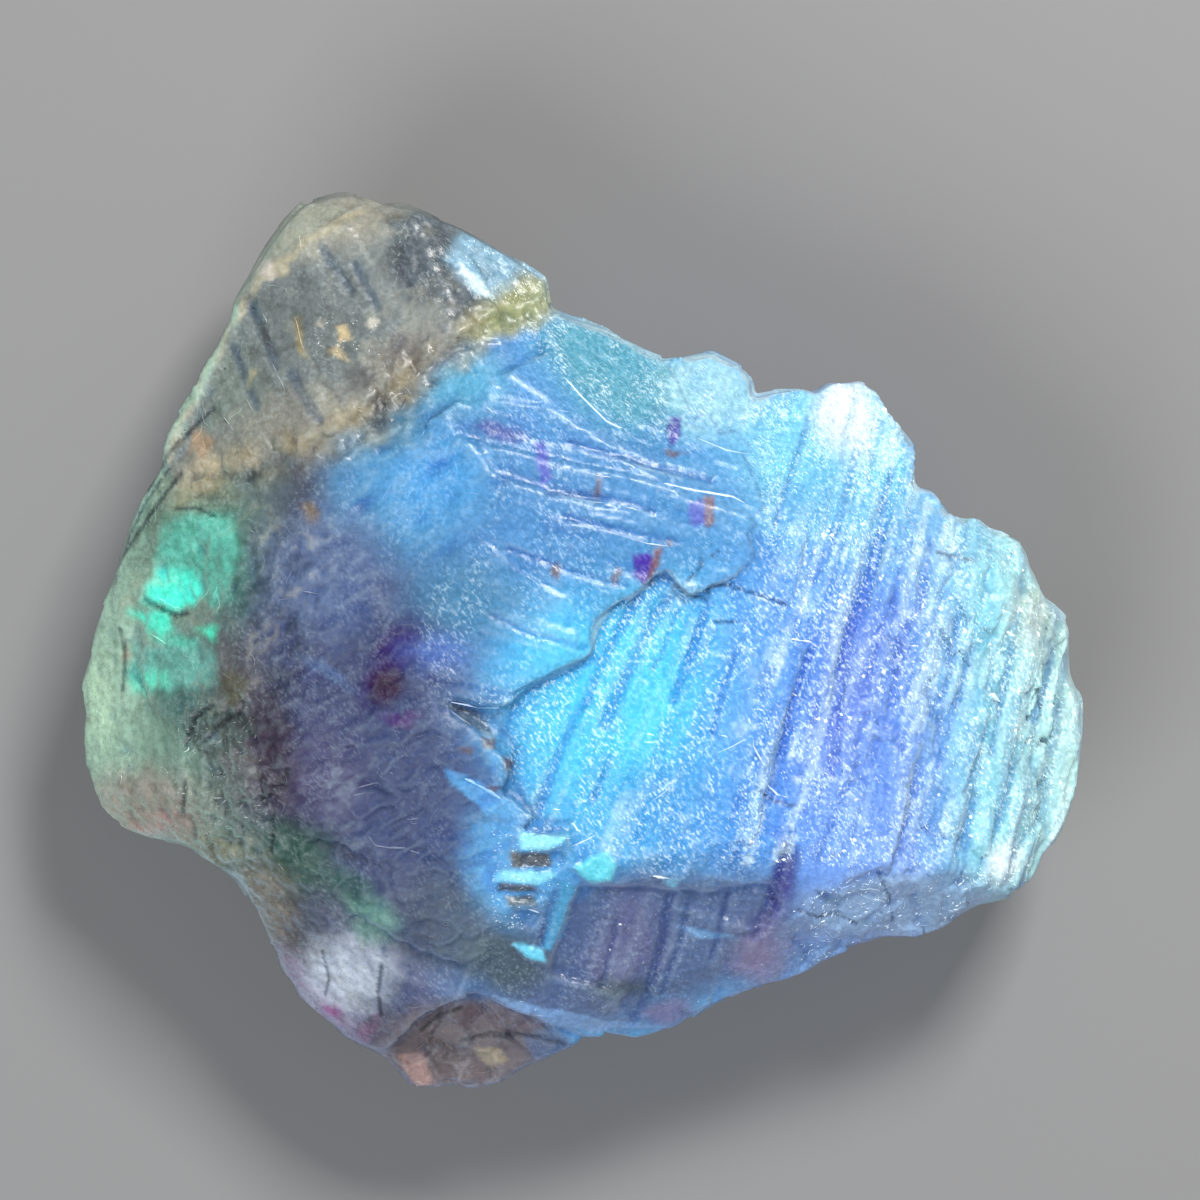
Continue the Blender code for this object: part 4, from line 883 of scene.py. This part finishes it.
def paint_growth(painter, grey):
    """Growth strips, ripples and clouds, lighter where their tone is above 0 and darker below it."""
    points, above = painter.points, painter.above
    place_x, place_y = painter.own
    x, y = painter.bent
    rope = drawn_out(points)
    flank = area(x, y, FLANK) * above
    face = area(x, y, MAIN_FACE) * above
    plates = area(x, y, PLATES) * above
    band = area(x, y, LOWER_BAND) * above
    smooth = area(x, y, SMOOTH_LEFT, 1.0) * above
    slate = area(x, y, SLATE, 1.0) * above
    tone = flank * 0.9 * growth(place_x, place_y, FLANK_LEAN, 0.2, 0.8, 5.0, 231)
    tone += face * 0.6 * growth(place_x, place_y, FACE_LEAN, 0.3, 1.0, 5.0, 233)
    tone += plates * 0.6 * strips(place_y - PLATE_FALL * place_x, place_x, 0.25, 0.9, 3.0, 235)
    tone += band * 0.5 * growth(place_x, place_y, BAND_LEAN, 0.3, 1.0, 6.0, 237)
    tone += grey * above * 0.75 * growth(x, y, GREY_LEAN, 0.3, 1.5, 2.2, 239)
    tone += grey * above * 0.45 * (ridges(points, 1.3, 249, 2) - 0.55)
    tone += smooth * (0.5 * (ridges(points, 0.8, 243, 2) - 0.6) + 0.6 * fractal(points, 2.0, 255))
    # The bowl's tone follows the same ripples as its relief: painted light on their crests, painted shade in
    # their hollows.
    tone += oval(x, y, *BOWL) * above * 0.8 * (ridges(rope, 1.1, 245, 3) - 0.5)
    tone += slate * (0.9 * (ridges(rope, 0.9, 247, 3) - 0.75) + 0.5 * fractal(points, 2.4, 253))
    tone += 0.3 * fractal(points, 1.6, 241, 4, 0.7) + 0.08 * noise(points, 0.32, 221)
    earthy = np.maximum(grey * above, smooth)
    light, dark = smoothstep(0.1, 0.6, tone), smoothstep(0.0, 0.6, -tone)
    painter.shade(dark * (1.0 - earthy) * 0.55, (0.35, 0.55, 0.85))
    painter.shade(dark * earthy * 0.6, (0.50, 0.48, 0.45))
    painter.paint(light * (1.0 - earthy) * (0.35 + 0.65 * (flank + face)), "#D8F4FF", 0.45)
    painter.paint(light * earthy, "#BCBAA4", 0.3)


def paint_lines(painter):
    """The dark stripes, the cracks, and the shade along the edges of the plates."""
    x, y = painter.own
    painter.shade(strokes(x, y, DARK_STRIPES) * painter.above * 0.6, (0.40, 0.52, 0.75))
    painter.shade(strokes(x, y, CRACKS) * painter.above * 0.85, (0.22, 0.24, 0.28))
    edges = strokes(x, y, [(0.16, PLATES_EDGE), (0.14, TONGUE_EDGE), (0.2, LOWER_EDGE)])
    painter.shade(edges * painter.above * 0.55, (0.45, 0.5, 0.62))


def zone_colours(points, normals):
    """The crystal's colour at each point: its zones above the girdle, and plain cloudy bands below it."""
    painter = Painter(points, normals)
    grey = area(*painter.bent, GREY_MASS, 0.5)
    painter.paint_zones(ZONES, painter.above)
    paint_corner(painter, grey)
    paint_marks(painter, normals)
    paint_growth(painter, grey)
    paint_lines(painter)
    return painter.colours


def add_attribute(mesh, name, values):
    if values.ndim == 2:
        made = mesh.attributes.new(name, "FLOAT_COLOR", "POINT")
        flat = np.concatenate([values, np.ones((len(values), 1))], axis=1)
        made.data.foreach_set("color", flat.astype(np.float32).ravel())
    else:
        made = mesh.attributes.new(name, "FLOAT", "POINT")
        made.data.foreach_set("value", values.astype(np.float32))


def mark_surface(mesh):
    """Stores the colour, the frost and the roughness on the mesh. Crests get painted highlight, and hollows
    painted shade.
    """
    points, normals, edges = read_points(mesh), read_normals(mesh), read_edges(mesh)
    x, y = points[:, 0], points[:, 1]
    count = len(points)
    bend = ((points - neighbour_mean(points, edges, count)) * normals).sum(axis=1)
    wide = bend.copy()
    for _ in range(4):
        wide = neighbour_mean(wide[:, None], edges, count)[:, 0]
    up = smoothstep(0.2, 0.6, normals[:, 2])
    crest_highlight = up * (smoothstep(0.004, 0.02, bend) * 0.5 + smoothstep(0.001, 0.008, wide) * 0.4)
    hollow_shade = up * smoothstep(0.001, 0.010, -wide)
    frost, rough = np.full(count, 0.15), np.full(count, 0.35)
    for outline, soft, frosting, roughness in SURFACES:
        mask = area(x, y, outline, soft) * up
        frost, rough = mix(frost, frosting, mask), mix(rough, roughness, mask)
    crowd = noise(np.stack([1.6 * (x - FLANK_LEAN * y), 0.5 * y, points[:, 2]], axis=1), 1.2, 313)
    frost = frost * mix(0.2, 1.0, smoothstep(-0.35, 0.35, crowd))
    # Painted highlight on the crests, and below it painted shade in the hollows.
    pale = 0.35 * np.clip(crest_highlight, 0.0, 1.0) * np.maximum(frost, 0.22)
    colours = mix(zone_colours(points, normals), linear("#D4F0FC"), pale[:, None])
    colours = colours * mix(1.0, np.array((0.5, 0.6, 0.8)), (0.6 * hollow_shade)[:, None])
    add_attribute(mesh, "zone_colour", colours)
    add_attribute(mesh, "frost", frost)
    add_attribute(mesh, "rough", rough)


class Nodes:
    """Short calls for making and joining the nodes of one material."""

    def __init__(self, material):
        self.tree = material.node_tree

    def new(self, kind, **inputs):
        node = self.tree.nodes.new(kind)
        for name, value in inputs.items():
            self.set(node.inputs[name.replace("_", " ")], value)
        return node

    def set(self, socket, value):
        if isinstance(value, bpy.types.NodeSocket):
            self.tree.links.new(value, socket)
        else:
            socket.default_value = value

    def math(self, operation, *values, clamp=False):
        node = self.tree.nodes.new("ShaderNodeMath")
        node.operation = operation
        node.use_clamp = clamp
        for socket, value in zip(node.inputs, values):
            self.set(socket, value)
        return node.outputs[0]

    def ramp(self, value, low, high, out_low=0.0, out_high=1.0):
        node = self.tree.nodes.new("ShaderNodeMapRange")
        node.interpolation_type = "SMOOTHSTEP"
        for socket, amount in zip(node.inputs, (value, low, high, out_low, out_high)):
            self.set(socket, amount)
        return node.outputs[0]

    def blend(self, share, first, second, mode="MIX"):
        node = self.tree.nodes.new("ShaderNodeMix")
        node.data_type = "RGBA"
        node.blend_type = mode
        self.set(node.inputs[0], share)
        self.set(node.inputs[6], first)
        self.set(node.inputs[7], second)
        return node.outputs[2]

    def attribute(self, name):
        node = self.tree.nodes.new("ShaderNodeAttribute")
        node.attribute_name = name
        return node

    def noise(self, place, size, detail=2.0, rough=0.5):
        """Noise with features about size mm wide."""
        scale = 1.0 / (size * MM)
        node = self.new("ShaderNodeTexNoise", Vector=place, Scale=scale, Detail=detail, Roughness=rough)
        return node.outputs["Fac"]

    def slanted(self, place, turn, stretch):
        """Coordinates turned about the vertical and squeezed in x, so a texture on them is drawn out."""
        rotation = (0.0, 0.0, math.radians(-turn))
        turned = self.new("ShaderNodeMapping", Vector=place, Rotation=rotation).outputs[0]
        return self.new("ShaderNodeMapping", Vector=turned, Scale=(1.0 / stretch, 1.0, 1.0)).outputs[0]

    def shaded(self, colour, shade):
        """The colour made darker or lighter by shade."""
        tint = self.new("ShaderNodeCombineColor", Red=shade, Green=shade, Blue=shade).outputs["Color"]
        return self.blend(1.0, colour, tint, "MULTIPLY")


def new_material(name):
    material = bpy.data.materials.new(name)
    material.use_nodes = True
    shader = material.node_tree.nodes["Principled BSDF"]
    shader.inputs["IOR"].default_value = REFRACTION
    shader.inputs["Metallic"].default_value = 0.0
    return material, shader, Nodes(material)


def fluorite_material():
    """See-through fluorite, coloured in zones, frosted where it is etched and glassy where it is not."""
    material, shader, make = new_material("fluorite")
    place = make.new("ShaderNodeTexCoord").outputs["Object"]
    zone = make.attribute("zone_colour").outputs["Color"]
    frost = make.attribute("frost").outputs["Fac"]
    dash = make.noise(make.slanted(place, -52, 2.4), 0.12, 1.5, 0.6)
    grain = make.noise(place, 0.26, 1.5, 0.65)

    # Painted shade in the pits of the fine frost, where the bump's height is lowest.
    pit_shade = make.math("MULTIPLY", make.ramp(dash, 0.48, 0.34), frost)
    pit_shaded = make.blend(1.0, zone, (0.35, 0.5, 0.75, 1.0), "MULTIPLY")
    colour = make.blend(make.math("MULTIPLY", pit_shade, 0.4), zone, pit_shaded)
    # Painted sparkle highlights on the crests of the fine frost, where the bump's height is highest.
    patchy = make.math("MULTIPLY", frost, make.ramp(grain, 0.36, 0.58))
    speck_highlights = make.math("MULTIPLY", make.ramp(dash, 0.51, 0.60), patchy)
    colour = make.blend(make.math("MULTIPLY", speck_highlights, 0.75), colour, (0.80, 0.97, 1.0, 1.0))
    colour = make.shaded(colour, make.ramp(grain, 0.25, 0.75, 0.86, 1.14))
    make.set(shader.inputs["Base Color"], colour)

    rough = make.attribute("rough").outputs["Fac"]
    rough = make.math("ADD", rough, make.ramp(grain, 0.3, 0.7, -0.05, 0.07), clamp=True)
    make.set(shader.inputs["Roughness"], rough)
    shader.inputs["Transmission Weight"].default_value = TRANSMISSION

    height = make.math("MULTIPLY", dash, make.math("ADD", frost, 0.25))
    normal = make.new("ShaderNodeBump", Strength=0.6, Distance=0.07 * MM, Height=height).outputs["Normal"]
    make.set(shader.inputs["Normal"], normal)

    volume = make.new("ShaderNodeVolumeAbsorption", Color=ABSORPTION_TINT, Density=ABSORPTION_DENSITY)
    make.tree.links.new(volume.outputs[0], material.node_tree.nodes["Material Output"].inputs["Volume"])
    return material


def ridge_material():
    """The etch ridges: the colour of the crystal under them, paler, with a soft gloss."""
    material, shader, make = new_material("etch_ridges")
    place = make.new("ShaderNodeTexCoord").outputs["Object"]
    grain = make.noise(place, 0.15, 2.0)
    zone = make.attribute("zone_colour").outputs["Color"]
    make.set(shader.inputs["Base Color"], make.shaded(zone, make.ramp(grain, 0.3, 0.7, 0.85, 1.1)))
    make.set(shader.inputs["Roughness"], make.ramp(grain, 0.3, 0.7, 0.26, 0.44))
    return material


def make_crystal():
    mesh = crystal_mesh(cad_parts[NODE])
    mark_surface(mesh)
    mesh.materials.clear()
    mesh.materials.append(fluorite_material())
    mesh.shade_smooth()
    crystal = bpy.data.objects.new("crystal", mesh)
    bpy.context.scene.collection.objects.link(crystal)
    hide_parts(NODE)
    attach(crystal, "root")
    return crystal


class RidgeMesh:
    """Collects slim three-sided ridges that lie along lines on the crystal's surface."""

    # How deep a ridge's foot lies, in mm, and the height in metres from which its places are looked up.
    SINK = 0.05
    SKY = 0.05

    def __init__(self, crystal):
        graph = bpy.context.evaluated_depsgraph_get()
        self.surface = BVHTree.FromObject(crystal, graph)
        self.points, self.faces, self.pale = [], [], []

    def station(self, x, y):
        place, normal, _, _ = self.surface.ray_cast(Vector((x * MM, y * MM, self.SKY)), Vector((0, 0, -1)))
        if place is None or normal.z < 0.3:
            return None
        return place / MM, (normal + Vector((0, 0, 0.6))).normalized()

    def add(self, line, half_width, proud, pale):
        stations = [self.station(x, y) for x, y in line]
        if any(station is None for station in stations):
            return
        start, rings = len(self.points), len(line) - 2
        self.points.append(stations[0][0] - stations[0][1] * self.SINK)
        for (before, _), (here, normal), (after, _) in zip(stations, stations[1:], stations[2:]):
            side = normal.cross((after - before).normalized()) * half_width
            down = normal * self.SINK
            self.points += [here + side - down, here + normal * proud, here - side - down]
        self.points.append(stations[-1][0] - stations[-1][1] * self.SINK)
        last = len(self.points) - 1
        for k in range(3):
            m = (k + 1) % 3
            self.faces.append((start, start + 1 + m, start + 1 + k))
            for ring in range(rings - 1):
                at = start + 1 + 3 * ring
                self.faces.append((at + k, at + m, at + 3 + m, at + 3 + k))
            self.faces.append((last - 3 + k, last - 3 + m, last))
        self.pale += [pale] * (last + 1 - start)

    def build(self, name):
        mesh = bpy.data.meshes.new(name)
        low, high = cad_box
        mesh.from_pydata(np.clip(np.array(self.points) * MM, low, high).tolist(), [], self.faces)
        bm = bmesh.new()
        bm.from_mesh(mesh)
        bmesh.ops.recalc_face_normals(bm, faces=bm.faces[:])
        bm.to_mesh(mesh)
        bm.free()
        points = read_points(mesh)
        upward = np.tile([0.0, 0.0, 1.0], (len(points), 1))
        # The pale mix is partly the etched crystal's own paleness and partly painted sparkle highlight.
        colours = mix(zone_colours(points, upward), linear("#F4FCFF"), np.array(self.pale)[:, None])
        add_attribute(mesh, "zone_colour", colours)
        return mesh


def spindle(x, y, angle, length):
    """Three places along a short straight ridge."""
    dx, dy = 0.5 * length * math.cos(angle), 0.5 * length * math.sin(angle)
    return [(x - dx, y - dy), (x, y), (x + dx, y + dy)]


def points_inside(rng, outline, count):
    """Up to count random places inside the outline, crowded along the flank's growth strips."""
    places = np.array(outline)
    low, high = places.min(axis=0), places.max(axis=0)
    spread = rng.uniform(low, high, (count * 20, 2))
    spread = spread[inside(spread[:, 0], spread[:, 1], outline)]
    x, y = spread.T
    crowd = noise(np.stack([x, y, 0.0 * x], axis=1), 1.3, 311)
    crowd = crowd + 1.2 * growth(x, y, FLANK_LEAN, 0.2, 0.8, 5.0, 231)
    return spread[rng.random(len(x)) < 0.12 + 0.88 * smoothstep(-0.5, 0.6, crowd)][:count]


def add_scattered(ridge_mesh, rng):
    """Fields of fine straight ridges."""
    for outline, count, direction, spread, longest, widest, pale in SCATTERS:
        for x, y in points_inside(rng, outline, count):
            angle = math.radians(direction + spread * rng.uniform(-1, 1))
            length = longest * rng.uniform(0.35, 1.0)
            half_width = widest * rng.uniform(0.4, 1.0)
            paleness = pale * rng.uniform(0.3, 1.0)
            ridge_mesh.add(spindle(x, y, angle, length), half_width, PROUD_SHARE * half_width, paleness)


def add_threads(ridge_mesh, rng):
    """Wavy threads, each of a few short stretches."""
    for outline, count, length, direction, pale in THREADS:
        for x, y in points_inside(rng, outline, count):
            angle = math.radians(direction) + rng.uniform(-0.6, 0.6)
            line = [(x, y)]
            for _ in range(rng.integers(3, 8)):
                angle += rng.uniform(-0.6, 0.6)
                step = 0.3 * length * rng.uniform(0.5, 1.0)
                x, y = x + step * math.cos(angle), y + step * math.sin(angle)
                line.append((x, y))
            ridge_mesh.add(line, THREAD_HALF_WIDTH, THREAD_PROUD, pale * rng.uniform(0.2, 1.0) ** 1.5)


def make_ridges(crystal):
    """Etch ridges on the display face: the large ones one by one, then the fine ones and the threads."""
    ridge_mesh = RidgeMesh(crystal)
    rng = np.random.default_rng(301)
    for half_width, line in PALE_RIDGES:
        pale = LARGE_PALE if line[0][0] > DULL_LEFT_OF else DULL_PALE
        ridge_mesh.add(line, half_width, LARGE_PROUD, pale)
    add_scattered(ridge_mesh, rng)
    add_threads(ridge_mesh, rng)
    mesh = ridge_mesh.build("etch_ridges")
    mesh.materials.append(ridge_material())
    ridges_piece = bpy.data.objects.new("etch_ridges", mesh)
    bpy.context.scene.collection.objects.link(ridges_piece)
    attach(ridges_piece, "root")


def make_floor():
    """A wide grey floor, just under the crystal's flat back."""
    bm = bmesh.new()
    bmesh.ops.create_grid(bm, x_segments=1, y_segments=1, size=FLOOR_HALF)
    mesh = bpy.data.meshes.new("floor")
    bm.to_mesh(mesh)
    bm.free()
    material, shader, _ = new_material("pale_floor")
    shader.inputs["Base Color"].default_value = FLOOR_COLOUR
    shader.inputs["Roughness"].default_value = 0.7
    mesh.materials.append(material)
    floor = bpy.data.objects.new("floor", mesh)
    floor.location.z = -FLOOR_GAP * MM
    bpy.context.scene.collection.objects.link(floor)


def aimed(obj, target):
    obj.rotation_euler = (Vector(target) - obj.location).to_track_quat("-Z", "Y").to_euler()
    return obj


def soft_box(name, bearing, height_angle, distance, size, power, colour):
    """A square light on a compass bearing, raised by height_angle, aimed at the crystal."""
    data = bpy.data.lights.new(name, "AREA")
    data.shape = "SQUARE"
    data.size = size
    data.energy = power
    data.color = colour
    light = bpy.data.objects.new(name, data)
    turn, rise = math.radians(bearing), math.radians(height_angle)
    flat = distance * math.cos(rise)
    light.location = (flat * math.cos(turn), flat * math.sin(turn), distance * math.sin(rise))
    bpy.context.scene.collection.objects.link(light)
    return aimed(light, (0.0, 0.0, 10.0 * MM))


def make_lights():
    """A small key light, a wide fill that makes no glare, and an even sky."""
    soft_box("key", 62, 52, 0.36, 0.09, 1.9, (1.0, 0.98, 0.95))
    fill = soft_box("fill", 235, 48, 0.5, 0.3, 2.6, (0.95, 0.98, 1.0))
    fill.visible_glossy = False
    world = bpy.data.worlds.new("studio")
    world.use_nodes = True
    background = world.node_tree.nodes["Background"]
    background.inputs["Color"].default_value = SKY_COLOUR
    background.inputs["Strength"].default_value = SKY_STRENGTH
    bpy.context.scene.world = world


def make_camera():
    """Straight above the crystal, as wide as the photograph at the height of CAMERA_FOCUS."""
    data = bpy.data.cameras.new("camera")
    data.lens = LENS
    data.sensor_width = SENSOR
    data.clip_start = 0.01
    data.clip_end = 10.0
    camera = bpy.data.objects.new("camera", data)
    away = FRAME_WIDTH * LENS / SENSOR
    x, y, z = CAMERA_FOCUS
    camera.location = (x * MM, y * MM, (z + away) * MM)
    bpy.context.scene.collection.objects.link(camera)
    bpy.context.scene.camera = camera


def limit_bounces():
    """Fewer bounces than usual, because light that crosses the crystal many times is lost in it."""
    cycles = bpy.context.scene.cycles
    cycles.max_bounces = LIGHT_BOUNCES
    cycles.transmission_bounces = LIGHT_BOUNCES
    cycles.diffuse_bounces = 2
    cycles.glossy_bounces = 3


make_camera()
make_ridges(make_crystal())
make_floor()
make_lights()
limit_bounces()
bpy.context.scene.view_settings.view_transform = "Standard"
